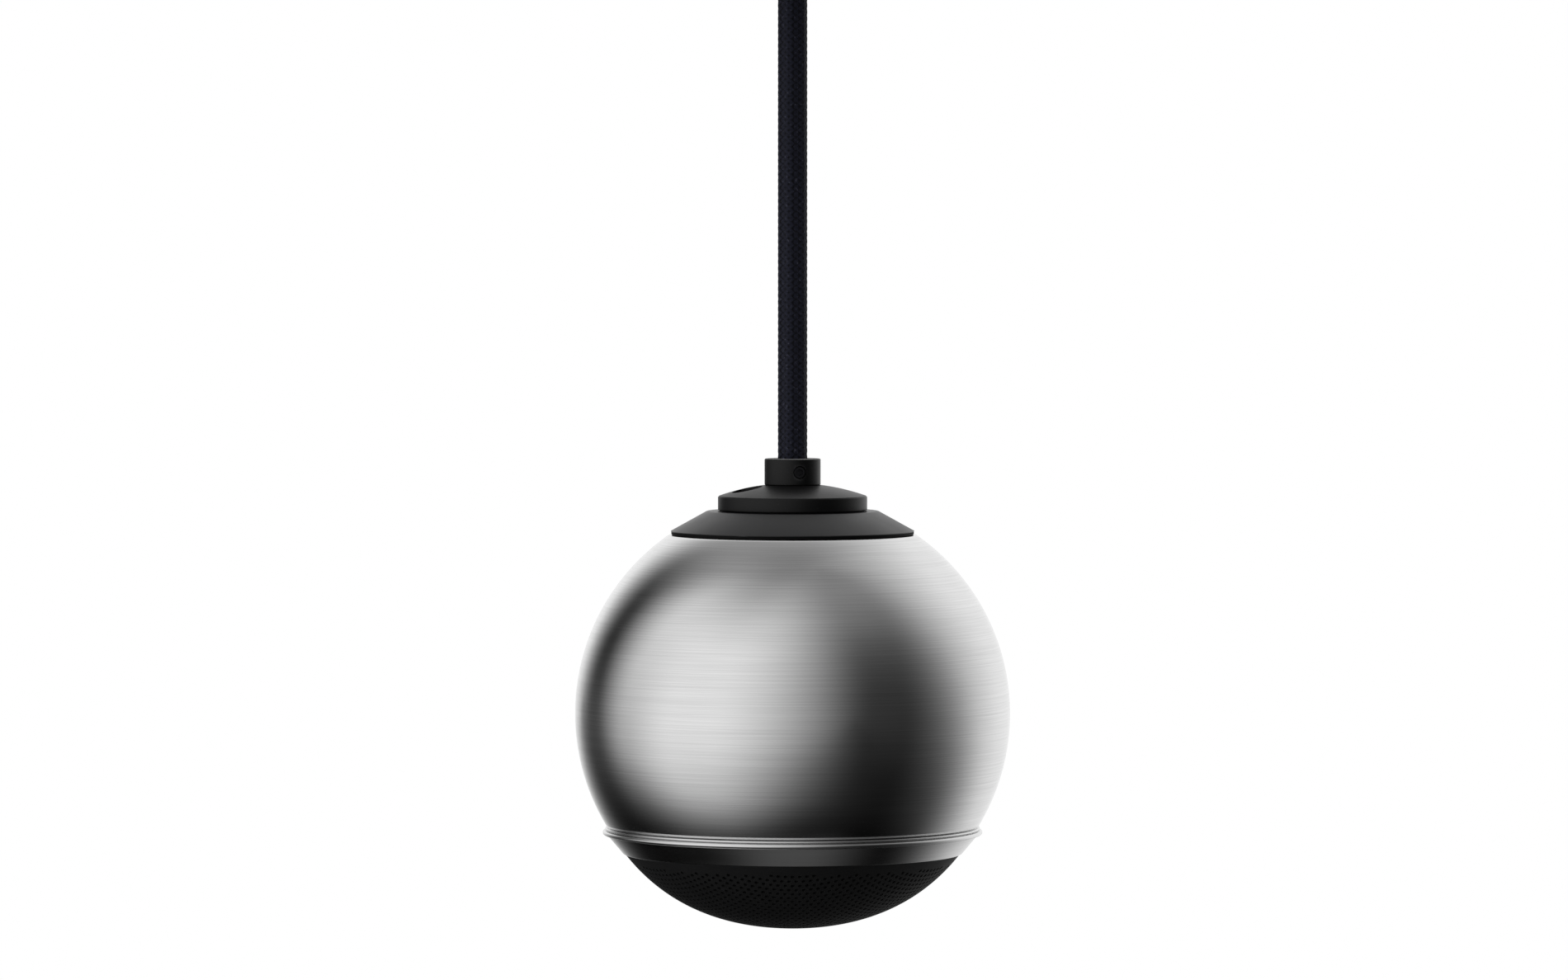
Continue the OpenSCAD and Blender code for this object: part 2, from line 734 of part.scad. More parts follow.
// Acoustic wadding in the upper part of the ball
module wadding() {
    color("ghostwhite") at_ball() difference() {
        ball_slice(wadding_r, wadding_low_z, wadding_low_z + wadding_h);
        translate([0, 0, wadding_low_z - cut]) cylinder(r = wadding_hole_r, h = wadding_h + 2 * cut);
    }
}

// Braided cord, from the collar up into the ceiling grip
module cord() {
    color("#23262c") tube_along(cord_points, cord_d / 2, cord_sides);
}

// Grip under the ceiling cup, with a threaded neck up through its floor
module ceiling_grip() {
    color("#1f1f21") union() {
        grip_collar(bush_z, bush_h, bush_z, ceiling_grub_z, grub_angle, 0);
        tube(nipple_r, cord_bore_r, bush_z + bush_h / 2 + grub_d, neck_top_z - bush_z - bush_h / 2 - grub_d);
    }
}

// Grub screw of the ceiling grip
module ceiling_grub_screw() {
    color("#3a3a3c") grub_screw(grub_angle, ceiling_grub_z, collar_r - 0.2, grub_len);
}

// Nut that holds the grip in the cup's floor
module ceiling_grip_nut() {
    color("goldenrod") hex_nut(nut_flats, nipple_r + thread_play, cup_floor_z, grip_nut_t);
}

// Stop on the cord's upper end, resting on the grip's neck
module ceiling_cord_stop() {
    color("gainsboro") cord_stop(neck_top_z);
}

// Round cup that hides the ceiling bracket and the wiring
module ceiling_cup() {
    color("#242426") difference() {
        rotate_extrude() polygon(concat(
            [[nipple_r + play, cup_floor_z], [nipple_r + play, -cup_h]],
            arc(cup_r - cup_edge_r, -cup_h + cup_edge_r, cup_edge_r, -90, 0, 6),
            [[cup_r, 0], [cup_in_r, 0]],
            arc(cup_r - cup_edge_r, -cup_h + cup_edge_r, cup_edge_r - cup_wall, 0, -90, 5)
        ));
        for (side = [0, 180])
            rotate([0, 0, side]) translate([cup_in_r - cut, 0, ear_hole_z]) rotate([0, 90, 0])
                cylinder(r = cup_screw_hole_r, h = cup_wall + 2 * cut);
    }
}

// Two screws through the cup's wall into the bracket's ears
module cup_screws() {
    color("#3a3a3c") for (side = [0, 180])
        rotate([0, 0, side]) translate([cup_r, 0, ear_hole_z]) rotate([0, 90, 0]) difference() {
            union() {
                translate([0, 0, -cup_screw_len]) cylinder(r = cup_screw_r, h = cup_screw_len);
                cylinder(r = cup_screw_head_r, h = cup_screw_head_t);
            }
            translate([-0.4, -cup_screw_head_r - cut, cup_screw_head_t - 0.9])
                cube([0.8, 2 * cup_screw_head_r + 2 * cut, 0.9 + cut]);
        }
}

// Steel bar on the ceiling with two ears bent down
module ceiling_bracket() {
    color("gainsboro") difference() {
        union() {
            translate([-ear_x, -bracket_w / 2, -bracket_t]) cube([2 * ear_x, bracket_w, bracket_t]);
            for (side = [-1, 1])
                translate([side * (ear_x - bracket_t / 2) - bracket_t / 2, -bracket_w / 2, -ear_h])
                    cube([bracket_t, bracket_w, ear_h]);
        }
        for (side = [-1, 1])
            translate([side * screw_spacing / 2, 0, -bracket_t - cut])
                cylinder(r = screw_hole_d / 2, h = bracket_t + 2 * cut);
        translate([-ear_x - cut, 0, ear_hole_z]) rotate([0, 90, 0])
            cylinder(r = cup_screw_r + thread_play, h = 2 * ear_x + 2 * cut);
    }
}

// Two-way terminal block under the bracket
module terminal_block() {
    color("white") difference() {
        translate([block_x, -block_w / 2, -bracket_t - block_h]) cube([block_l, block_w, block_h]);
        for (side = [-1, 1]) {
            translate([block_x - cut, side * block_pitch / 2, -bracket_t - block_h / 2]) rotate([0, 90, 0])
                cylinder(r = block_bore_r, h = block_l + 2 * cut);
            for (x = [0.28, 0.72])
                translate([block_x + block_l * x, side * block_pitch / 2, -bracket_t - block_h - cut])
                    cylinder(r = block_screw_head_r + thread_play, h = block_h / 2 + cut);
        }
    }
}

// Four brass screws in the terminal block
module terminal_screws() {
    color("goldenrod") for (side = [-1, 1]) for (x = [0.28, 0.72])
        translate([block_x + block_l * x, side * block_pitch / 2, -bracket_t - block_h + 0.8])
            difference() {
                cylinder(r = block_screw_head_r, h = 2.6);
                translate([-0.3, -block_screw_head_r - cut, -cut])
                    cube([0.6, 2 * block_screw_head_r + 2 * cut, 0.7 + cut]);
            }
}

// One core of the cord, from its sheath to the terminal block
module ceiling_core(side) {
    tube_along([for (p = core_route) [p[0], side * p[1], p[2]]], core_r, 8);
}

// Core to the positive terminal
module core_positive() {
    color("firebrick") ceiling_core(1);
}

// Core to the negative terminal
module core_negative() {
    color("#202020") ceiling_core(-1);
}

ball_shell();
bezel_ring();
grille_dome();
grille_cloth();
flange_cone();
neck_cap();
cord_collar();
collar_grub_screw();
hollow_nipple();
clamp_plate();
lock_nut();
cord_inner_end();
inner_cord_stop();
driver_basket();
driver_gasket();
driver_screws();
front_plate();
magnet_ring();
back_plate();
voice_coil_former();
voice_coil();
spider();
cone();
surround();
dust_cap();
terminal_board();
tinsel_leads();
lead_positive();
lead_negative();
wadding();
cord();
ceiling_grip();
ceiling_grub_screw();
ceiling_grip_nut();
ceiling_cord_stop();
ceiling_cup();
cup_screws();
ceiling_bracket();
terminal_block();
terminal_screws();
core_positive();
core_negative();
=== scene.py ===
"""Looks of a pendant loudspeaker: a brushed steel ball that hangs on a braided cord.

Sizes are in millimetres in the row frame, and MM turns them into Blender's metres. Sections of
turned parts are lists of (radius, height) whose heights are measured from the ball's centre.
"""

import logging
import math
from dataclasses import dataclass
from enum import Enum
from typing import Any, ClassVar, Iterable, Sequence

import bmesh
import bpy
import numpy as np
from mathutils import Matrix, Vector


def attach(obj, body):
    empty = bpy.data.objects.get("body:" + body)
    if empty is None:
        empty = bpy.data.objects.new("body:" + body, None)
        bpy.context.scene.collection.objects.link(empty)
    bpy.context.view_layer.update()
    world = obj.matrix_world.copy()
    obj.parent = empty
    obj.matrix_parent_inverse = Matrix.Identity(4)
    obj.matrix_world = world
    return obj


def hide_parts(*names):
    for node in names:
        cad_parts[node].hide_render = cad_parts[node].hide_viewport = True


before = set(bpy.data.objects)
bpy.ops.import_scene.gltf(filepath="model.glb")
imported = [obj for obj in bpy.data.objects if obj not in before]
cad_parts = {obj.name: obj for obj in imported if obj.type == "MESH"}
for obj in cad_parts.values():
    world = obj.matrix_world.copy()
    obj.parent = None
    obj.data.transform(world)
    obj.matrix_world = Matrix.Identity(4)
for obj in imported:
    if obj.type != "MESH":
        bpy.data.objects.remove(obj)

LOG = logging.getLogger("pendant_speaker")
MM = 0.001
DROP = 205.0
PLAY = 0.2
GROUP_KIND = "ShaderNodeTree"

Point = tuple[float, float]
Place = tuple[float, float, float]
Colour = tuple[float, float, float]
Shape = tuple[list[Place], list[tuple[int, ...]]]


class Body(Enum):
    """CAD bodies that pieces ride on."""

    HOUSING = "housing"
    DIAPHRAGM = "diaphragm"


class Slot(Enum):
    """Names of material slots."""

    STEEL = "brushed_steel"
    GRILLE = "black_grille"
    CLOTH = "grille_cloth"
    SATIN = "satin_black"
    SCREW = "black_screw"
    PLATED = "plated_steel"
    BRASS = "brass"
    BRAID = "braid"
    RED_WIRE = "red_wire"
    BLACK_WIRE = "black_wire"
    BLOCK = "block_plastic"


class Lay(Enum):
    """The two ways round that a braid's strands run."""

    RIGHT = 1
    LEFT = -1


# Node groups and finishes


class NodeSketch:
    """Adds nodes to one tree and wires them as it goes."""

    def __init__(self, tree: bpy.types.NodeTree) -> None:
        """Keeps the tree that the nodes go into."""
        self.tree = tree

    def node(self, kind: str, inputs: dict | None = None, **settings: Any) -> bpy.types.Node:
        """Adds one node.

        Args:
            kind: the node's type, without the leading ShaderNode.
            inputs: for each input's name or number, a value or a socket to link.
            settings: properties of the node itself.

        Returns:
            The new node.
        """
        made = self.tree.nodes.new("ShaderNode" + kind)
        for name, value in settings.items():
            setattr(made, name, value)
        for key, value in (inputs or {}).items():
            if isinstance(value, bpy.types.NodeSocket):
                self.tree.links.new(value, made.inputs[key])
            else:
                made.inputs[key].default_value = value
        return made

    def sum(self, operation: str, a: Any, b: Any = 0.0, c: Any = 0.0) -> bpy.types.NodeSocket:
        """Returns the result of one Math node on up to three values."""
        return self.node("Math", {0: a, 1: b, 2: c}, operation=operation).outputs[0]

    def mix(self, factor: Any, a: Any, b: Any) -> bpy.types.NodeSocket:
        """Returns colour a turned into colour b by the factor."""
        a, b = (v if isinstance(v, bpy.types.NodeSocket) else (*v[:3], 1.0) for v in (a, b))
        return self.node("Mix", {0: factor, 6: a, 7: b}, data_type="RGBA").outputs[2]

    def step(self, value: Any, low: float, high: float, to_low: float = 0.0, to_high: float = 1.0) -> bpy.types.NodeSocket:
        """Returns a smooth step of the value from low to high."""
        return self.node(
            "MapRange", {0: value, 1: low, 2: high, 3: to_low, 4: to_high}, interpolation_type="SMOOTHSTEP"
        ).outputs[0]

    def noise(self, vector: Any, scale: float, detail: float = 2.0, **settings: Any) -> bpy.types.NodeSocket:
        """Returns a noise between 0 and 1 at the vector."""
        return self.node("TexNoise", {"Vector": vector, "Scale": scale, "Detail": detail}, **settings).outputs[0]

    def place(self) -> bpy.types.NodeSocket:
        """Returns the place in the piece's own mesh, which is the row frame in metres."""
        return self.node("TexCoord").outputs["Object"]

    def bump(self, height: Any, distance: float, strength: float = 1.0) -> bpy.types.NodeSocket:
        """Returns a normal bent by the height, over a depth in metres."""
        return self.node("Bump", {"Height": height, "Distance": distance, "Strength": strength}).outputs[0]


def new_group(name: str, inputs: dict[str, float], outputs: Sequence[str]) -> tuple[NodeSketch, Any, Any]:
    """Makes an empty node group with its sockets.

    Args:
        name: the group's name.
        inputs: each input's name and its usual value.
        outputs: the outputs' names, all values.

    Returns:
        A sketch of the group's tree, its input node and its output node.
    """
    tree = bpy.data.node_groups.new(name, GROUP_KIND)
    for label, value in inputs.items():
        socket = tree.interface.new_socket(name=label, in_out="INPUT", socket_type="NodeSocketFloat")
        socket.default_value = value
    for label in outputs:
        tree.interface.new_socket(name=label, in_out="OUTPUT", socket_type="NodeSocketFloat")
    return NodeSketch(tree), tree.nodes.new("NodeGroupInput"), tree.nodes.new("NodeGroupOutput")


def group_turned_lines() -> None:
    """Makes the lines that turning and brushing leave round the part's axis."""
    sketch, given, made = new_group("turned_lines", {"Lines": 3000.0, "Length": 3.0}, ("Streaks", "Bands"))
    x, y, z = sketch.node("SeparateXYZ", {0: sketch.place()}).outputs
    radius = sketch.sum("MAXIMUM", sketch.sum("POWER", sketch.sum("ADD", sketch.sum("MULTIPLY", x, x), sketch.sum("MULTIPLY", y, y)), 0.5), 1e-5)
    for output, share, detail in (("Streaks", 1.0, 3.0), ("Bands", 0.12, 1.0)):
        lines = sketch.sum("MULTIPLY", given.outputs["Lines"], share)
        round_axis = sketch.node(
            "CombineXYZ",
            {
                0: sketch.sum("MULTIPLY", sketch.sum("DIVIDE", x, radius), given.outputs["Length"]),
                1: sketch.sum("MULTIPLY", sketch.sum("DIVIDE", y, radius), given.outputs["Length"]),
                2: sketch.sum("MULTIPLY", z, lines),
            },
        ).outputs[0]
        found = sketch.node(
            "TexNoise",
            {"Vector": round_axis, "W": sketch.sum("MULTIPLY", radius, lines), "Scale": 1.0, "Detail": detail},
            noise_dimensions="4D",
        ).outputs[0]
        sketch.tree.links.new(found, made.inputs[output])


def group_handling() -> None:
    """Makes faint smudges, dust and edges rubbed bright."""
    sketch, given, made = new_group("handling", {"Smudges": 0.5, "Wear": 0.5}, ("Smudge", "Dust", "Wear"))
    place = sketch.place()
    smudge = sketch.step(sketch.noise(place, 55.0, 4.0), 0.42, 0.72)
    dust = sketch.step(sketch.noise(place, 2600.0, 2.0), 0.66, 0.78)
    point = sketch.node("NewGeometry").outputs["Pointiness"]
    rubbed = sketch.sum("MULTIPLY", sketch.step(point, 0.53, 0.6), sketch.step(sketch.noise(place, 420.0, 3.0), 0.35, 0.7))
    for name, value, factor in (("Smudge", smudge, given.outputs["Smudges"]), ("Dust", dust, given.outputs["Smudges"]), ("Wear", rubbed, given.outputs["Wear"])):
        sketch.tree.links.new(sketch.sum("MULTIPLY", value, factor), made.inputs[name])


def group_grain() -> None:
    """Makes an even grain for paint, rubber, paper and plastic."""
    sketch, given, made = new_group("grain", {"Grains": 2500.0}, ("Height", "Cloud"))
    place = sketch.place()
    fine = sketch.node("TexNoise", {"Vector": place, "Scale": given.outputs["Grains"], "Detail": 3.0}).outputs[0]
    slow = sketch.node("TexNoise", {"Vector": place, "Scale": sketch.sum("MULTIPLY", given.outputs["Grains"], 0.05), "Detail": 2.0}).outputs[0]
    sketch.tree.links.new(fine, made.inputs["Height"])
    sketch.tree.links.new(slow, made.inputs["Cloud"])


def group_threads() -> None:
    """Makes a plain weave whose threads run along X and Y, with a mask of the low gaps between threads for painted
    shade.
    """
    sketch, given, made = new_group("threads", {"Threads": 2500.0}, ("Height", "Gap"))
    x, y, _ = sketch.node("SeparateXYZ", {0: sketch.place()}).outputs
    waves = []
    for along, across in ((x, y), (y, x)):
        turn = sketch.sum("MULTIPLY", across, sketch.sum("MULTIPLY", given.outputs["Threads"], math.pi))
        unshaded_crown = sketch.sum("ABSOLUTE", sketch.sum("SINE", turn))
        over = sketch.sum("SINE", sketch.sum("MULTIPLY", along, sketch.sum("MULTIPLY", given.outputs["Threads"], math.pi)))
        side = sketch.sum("SIGN", sketch.sum("SINE", turn))
        waves.append(sketch.sum("MULTIPLY", unshaded_crown, sketch.sum("MULTIPLY_ADD", sketch.sum("MULTIPLY", over, side), 0.35 if along is x else -0.35, 0.65)))
    height = sketch.sum("MAXIMUM", waves[0], waves[1])
    sketch.tree.links.new(height, made.inputs["Height"])
    sketch.tree.links.new(sketch.step(height, 0.1, 0.5, 1.0, 0.0), made.inputs["Gap"])


@dataclass(frozen=True)
class Finish:
    """A surface finish, built once as a material."""

    name: str
    colour: Colour
    roughness: float

    built: ClassVar[dict[str, bpy.types.Material]] = {}

    def material(self) -> bpy.types.Material:
        """Returns the finish's material, which is built the first time."""
        if self.name not in Finish.built:
            made = bpy.data.materials.new("finish_" + self.name)
            made.use_nodes = True
            made.node_tree.nodes.clear()
            sketch = NodeSketch(made.node_tree)
            shader = sketch.node("BsdfPrincipled", {"Roughness": self.roughness})
            self.dress(sketch, shader)
            sketch.node("OutputMaterial", {0: shader.outputs[0]})
            Finish.built[self.name] = made
        return Finish.built[self.name]

    def dress(self, sketch: NodeSketch, shader: bpy.types.Node) -> None:
        """Wires the finish's own nodes.

        Args:
            sketch: the material's tree.
            shader: its Principled BSDF.
        """
        raise NotImplementedError

    def group(self, sketch: NodeSketch, name: str, values: dict[str, float]) -> bpy.types.Node:
        """Returns one of the shared groups, placed with this finish's values."""
        made = sketch.tree.nodes.new("ShaderNodeGroup")
        made.node_tree = bpy.data.node_groups[name]
        for label, value in values.items():
            made.inputs[label].default_value = value
        return made

    def wire(self, sketch: NodeSketch, shader: bpy.types.Node, **sockets: bpy.types.NodeSocket) -> None:
        """Links sockets to the shader's inputs, with _ for a space in an input's name."""
        for name, socket in sockets.items():
            sketch.tree.links.new(socket, shader.inputs[name.replace("_", " ")])


@dataclass(frozen=True)
class TurnedMetal(Finish):
    """Bare metal with the lines of its turning or brushing."""

    lines: float = 3500.0
    length: float = 3.0
    depth: float = 0.000002
    shade: float = 0.12
    anisotropy: float = 0.4
    smudges: float = 0.3
    wear: float = 0.3

    def dress(self, sketch: NodeSketch, shader: bpy.types.Node) -> None:
        """Wires brushed lines, smudges and rubbed edges.

        Args:
            sketch: the material's tree.
            shader: its Principled BSDF.
        """
        shader.inputs["Metallic"].default_value = 1.0
        shader.inputs["Anisotropic"].default_value = self.anisotropy
        shader.inputs["Anisotropic Rotation"].default_value = 0.25
        lines = self.group(sketch, "turned_lines", {"Lines": self.lines, "Length": self.length})
        marks = self.group(sketch, "handling", {"Smudges": self.smudges, "Wear": self.wear})
        dark = [c * (1.0 - self.shade) for c in self.colour]
        bright = [min(1.0, c * (1.0 + self.shade * 0.6)) for c in self.colour]
        brushed = sketch.mix(lines.outputs["Streaks"], dark, bright)
        rubbed = sketch.mix(marks.outputs["Wear"], brushed, [min(1.0, c * 1.15) for c in self.colour])
        rough = sketch.sum("MULTIPLY_ADD", lines.outputs["Bands"], 0.08, self.roughness - 0.04)
        rough = sketch.sum("MULTIPLY_ADD", marks.outputs["Smudge"], 0.05, rough)
        tangent = sketch.node("Tangent", direction_type="RADIAL", axis="Z").outputs[0]
        self.wire(sketch, shader, Base_Color=rubbed, Roughness=rough, Tangent=tangent,
                  Normal=sketch.bump(lines.outputs["Streaks"], self.depth))


@dataclass(frozen=True)
class CoatedMetal(Finish):
    """Paint, powder or anodised film on metal, rubbed thin along its edges."""

    under: Colour = (0.22, 0.22, 0.23)
    grains: float = 5000.0
    depth: float = 0.000003
    smudges: float = 0.4
    wear: float = 0.35
    sheen: float = 0.5

    def dress(self, sketch: NodeSketch, shader: bpy.types.Node) -> None:
        """Wires the film's grain, its smudges and its worn edges.

        Args:
            sketch: the material's tree.
            shader: its Principled BSDF.
        """
        shader.inputs["Specular IOR Level"].default_value = self.sheen
        grain = self.group(sketch, "grain", {"Grains": self.grains})
        marks = self.group(sketch, "handling", {"Smudges": self.smudges, "Wear": self.wear})
        film = sketch.mix(grain.outputs["Cloud"], [c * 0.85 for c in self.colour], [c * 1.15 for c in self.colour])
        dusty = sketch.mix(sketch.sum("MULTIPLY", marks.outputs["Dust"], 0.12), film, (0.4, 0.4, 0.4))
        worn = sketch.mix(marks.outputs["Wear"], dusty, self.under)
        rough = sketch.sum("MULTIPLY_ADD", marks.outputs["Smudge"], 0.14, self.roughness)
        rough = sketch.sum("MULTIPLY_ADD", grain.outputs["Height"], 0.06, rough)
        self.wire(sketch, shader, Base_Color=worn, Roughness=rough, Normal=sketch.bump(grain.outputs["Height"], self.depth))


@dataclass(frozen=True)
class Moulded(Finish):
    """Plastic, rubber, ferrite or board, with a grain of its own."""

    grains: float = 2200.0
    depth: float = 0.000006
    clouds: float = 0.12
    smudges: float = 0.4

    def dress(self, sketch: NodeSketch, shader: bpy.types.Node) -> None:
        """Wires the grain and a slow change of tone.

        Args:
            sketch: the material's tree.
            shader: its Principled BSDF.
        """
        grain = self.group(sketch, "grain", {"Grains": self.grains})
        marks = self.group(sketch, "handling", {"Smudges": self.smudges, "Wear": 0.0})
        low, high = ([min(1.0, c * (1.0 + s * self.clouds)) for c in self.colour] for s in (-1, 1))
        rough = sketch.sum("MULTIPLY_ADD", marks.outputs["Smudge"], 0.12, self.roughness)
        self.wire(sketch, shader, Base_Color=sketch.mix(grain.outputs["Cloud"], low, high), Roughness=rough,
                  Normal=sketch.bump(grain.outputs["Height"], self.depth))


@dataclass(frozen=True)
class Woven(Finish):
    """Cloth of plain weave."""

    threads: float = 2500.0
    depth: float = 0.00008
    # Colour of the painted shade in the gaps between threads.
    gap: Colour = (0.002, 0.002, 0.002)
    fuzz: float = 0.15

    def dress(self, sketch: NodeSketch, shader: bpy.types.Node) -> None:
        """Wires the weave's height and the painted shade in the gaps between its threads.

        Args:
            sketch: the material's tree.
            shader: its Principled BSDF.
        """
        shader.inputs["Sheen Weight"].default_value = self.fuzz
        threads = self.group(sketch, "threads", {"Threads": self.threads})
        grain = self.group(sketch, "grain", {"Grains": self.threads * 2.0})
        yarn = sketch.mix(grain.outputs["Height"], [c * 0.7 for c in self.colour], [min(1.0, c * 1.3) for c in self.colour])
        # Painted shade: the gaps between threads take the gap colour.
        self.wire(sketch, shader, Base_Color=sketch.mix(threads.outputs["Gap"], yarn, self.gap),
                  Normal=sketch.bump(threads.outputs["Height"], self.depth))


@dataclass(frozen=True)
class Felted(Finish):
    """Paper, foam or wadding, whose fibres lie every way."""

    fibres: float = 900.0
    depth: float = 0.0002
    fuzz: float = 0.3

    def dress(self, sketch: NodeSketch, shader: bpy.types.Node) -> None:
        """Wires coarse and fine fibres.

        Args:
            sketch: the material's tree.
            shader: its Principled BSDF.
        """
        shader.inputs["Sheen Weight"].default_value = self.fuzz
        coarse = self.group(sketch, "grain", {"Grains": self.fibres})
        fine = self.group(sketch, "grain", {"Grains": self.fibres * 4.0})
        tone = sketch.mix(coarse.outputs["Height"], [c * 0.75 for c in self.colour], [min(1.0, c * 1.2) for c in self.colour])
        height = sketch.sum("MULTIPLY_ADD", fine.outputs["Height"], 0.5, coarse.outputs["Height"])
        self.wire(sketch, shader, Base_Color=tone, Normal=sketch.bump(height, self.depth))


@dataclass(frozen=True)
class BraidYarn(Finish):
    """Textile yarn whose filaments run along each strand of the braid."""

    fleck: Colour = (0.09, 0.092, 0.13)
    filaments: float = 7.0

    def dress(self, sketch: NodeSketch, shader: bpy.types.Node) -> None:
        """Wires the filaments, which the strands' UV map carries, with painted shade in the filaments' grooves and
        along the strands' edges.

        Args:
            sketch: the material's tree.
            shader: its Principled BSDF.
        """
        shader.inputs["Sheen Weight"].default_value = 0.04
        shader.inputs["Sheen Roughness"].default_value = 0.4
        shader.inputs["Specular IOR Level"].default_value = 0.16
        across, along, _ = sketch.node("SeparateXYZ", {0: sketch.node("UVMap", uv_map="strand").outputs[0]}).outputs
        turn = sketch.sum("MULTIPLY_ADD", along, 5.0, sketch.sum("MULTIPLY", across, self.filaments))
        ridge = sketch.sum("ABSOLUTE", sketch.sum("SINE", sketch.sum("MULTIPLY", turn, math.pi)))
        stray = sketch.noise(sketch.place(), 1500.0, 3.0)
        # Painted shade in the grooves between filaments, which go to 0.45 of the yarn's colour; along the crests the
        # stray noise gives a random tone up to 1.6 times it.
        tone = sketch.mix(sketch.sum("MULTIPLY", ridge, stray), [c * 0.45 for c in self.colour], [c * 1.6 for c in self.colour])
        tone = sketch.mix(sketch.step(stray, 0.6, 0.75), tone, self.fleck)
        # Painted shade: each strand's edges, where it meets its neighbours, are darkened towards a fifth of the yarn's
        # colour; the inner sheath, whose UVs are all zero, takes that shade colour all over.
        unshaded_crown = sketch.step(sketch.sum("SINE", sketch.sum("MULTIPLY", across, math.pi)), 0.35, 0.95)
        tone = sketch.mix(unshaded_crown, [c * 0.2 for c in self.colour], tone)
        self.wire(sketch, shader, Base_Color=tone, Normal=sketch.bump(sketch.sum("ADD", ridge, stray), 0.00005))


BALL_STEEL = TurnedMetal("ball_steel", (0.80, 0.80, 0.80), 0.13, lines=4200.0, length=1.5, depth=0.0000012, shade=0.24)
RING_STEEL = TurnedMetal("ring_steel", (0.78, 0.78, 0.78), 0.2, lines=4200.0, length=2.0, anisotropy=0.3)
FLANGE_BLACK = CoatedMetal("flange_black", (0.012, 0.012, 0.013), 0.34)
CAP_BLACK = CoatedMetal("cap_black", (0.005, 0.005, 0.0053), 0.36, sheen=0.28)
# A very dark, dull finish for the ring under the flange's rim, which makes the band there black.
UNDER_RIM_BLACK = CoatedMetal("under_rim_black", (0.003, 0.003, 0.003), 0.6, sheen=0.12, wear=0.0)
CUP_BLACK = CoatedMetal("cup_black", (0.010, 0.010, 0.011), 0.42, grains=3500.0, depth=0.000006, wear=0.0)
GRILLE_BLACK = CoatedMetal("grille_black", (0.009, 0.009, 0.0094), 0.6, sheen=0.3, wear=0.05)
BASKET_BLACK = CoatedMetal("basket_black", (0.02, 0.02, 0.022), 0.45, grains=2600.0, depth=0.00001)
SCREW_BLACK = TurnedMetal("screw_black", (0.06, 0.06, 0.065), 0.35, lines=6000.0, wear=0.8)
BRASS_TURNED = TurnedMetal("brass_turned", (0.78, 0.55, 0.25), 0.28, lines=5000.0, smudges=0.8)
STEEL_PLATED = TurnedMetal("steel_plated", (0.72, 0.74, 0.76), 0.3, lines=900.0, length=8.0, anisotropy=0.1, smudges=0.9)
COPPER_WIRE = TurnedMetal("copper_wire", (0.72, 0.34, 0.18), 0.35, lines=5500.0, depth=0.00004, shade=0.35)
FERRITE = Moulded("ferrite", (0.035, 0.034, 0.035), 0.55, grains=3200.0, depth=0.00002)
FORMER_PAPER = Felted("former_paper", (0.34, 0.22, 0.1), 0.5, fibres=3000.0, depth=0.00002, fuzz=0.1)
CONE_PAPER = Felted("cone_paper", (0.022, 0.022, 0.025), 0.75, fibres=1300.0, depth=0.00006)
GASKET_FOAM = Felted("gasket_foam", (0.03, 0.03, 0.03), 0.9, fibres=2600.0, depth=0.0001)
WADDING_FIBRE = Felted("wadding_fibre", (0.8, 0.8, 0.77), 0.95, fibres=420.0, depth=0.0012, fuzz=0.6)
SPIDER_CLOTH = Woven("spider_cloth", (0.5, 0.33, 0.12), 0.8, threads=1800.0, gap=(0.16, 0.1, 0.04))
GRILLE_CLOTH = Woven("grille_cloth_weave", (0.05, 0.05, 0.051), 0.9, gap=(0.02, 0.02, 0.02))
SURROUND_RUBBER = Moulded("surround_rubber", (0.018, 0.018, 0.018), 0.6, depth=0.000004)
BOARD_LAMINATE = Moulded("board_laminate", (0.16, 0.07, 0.028), 0.5, grains=1400.0, clouds=0.25)
BLOCK_PLASTIC = Moulded("block_plastic_cream", (0.72, 0.7, 0.63), 0.45, depth=0.00001)
WIRE_RED = Moulded("wire_red", (0.42, 0.02, 0.015), 0.4)
WIRE_BLACK = Moulded("wire_black", (0.015, 0.015, 0.016), 0.4)
YARN = BraidYarn("yarn", (0.029, 0.031, 0.052), 0.75)


# Meshes


def arc(mid: Point, radius: float, start: float, stop: float, steps: int) -> list[Point]:
    """Returns points of an arc round mid, from the start angle to the stop angle in degrees."""
    turns = [math.radians(start + (stop - start) * i / steps) for i in range(steps + 1)]
    return [(mid[0] + radius * math.cos(a), mid[1] + radius * math.sin(a)) for a in turns]


def soften(corners: Sequence[tuple[float, ...]], steps: int = 4) -> list[Point]:
    """Rounds the corners of a closed section.

    Args:
        corners: (radius, height) or (radius, height, reach), where reach is how far the rounding
            runs along each side.
        steps: points along each rounding, less one.

    Returns:
        The section's points.
    """
    made: list[Point] = []
    for i, corner in enumerate(corners):
        here = np.array(corner[:2], float)
        if len(corner) < 3 or corner[2] <= 0:
            made.append((float(here[0]), float(here[1])))
            continue
        ends = []
        for other in (corners[i - 1], corners[(i + 1) % len(corners)]):
            side = np.array(other[:2], float) - here
            length = float(np.linalg.norm(side))
            ends.append(here + side / length * min(corner[2], 0.45 * length))
        for k in range(steps + 1):
            t = k / steps
            x, y = (1 - t) ** 2 * ends[0] + 2 * t * (1 - t) * here + t * t * ends[1]
            made.append((float(x), float(y)))
    return made


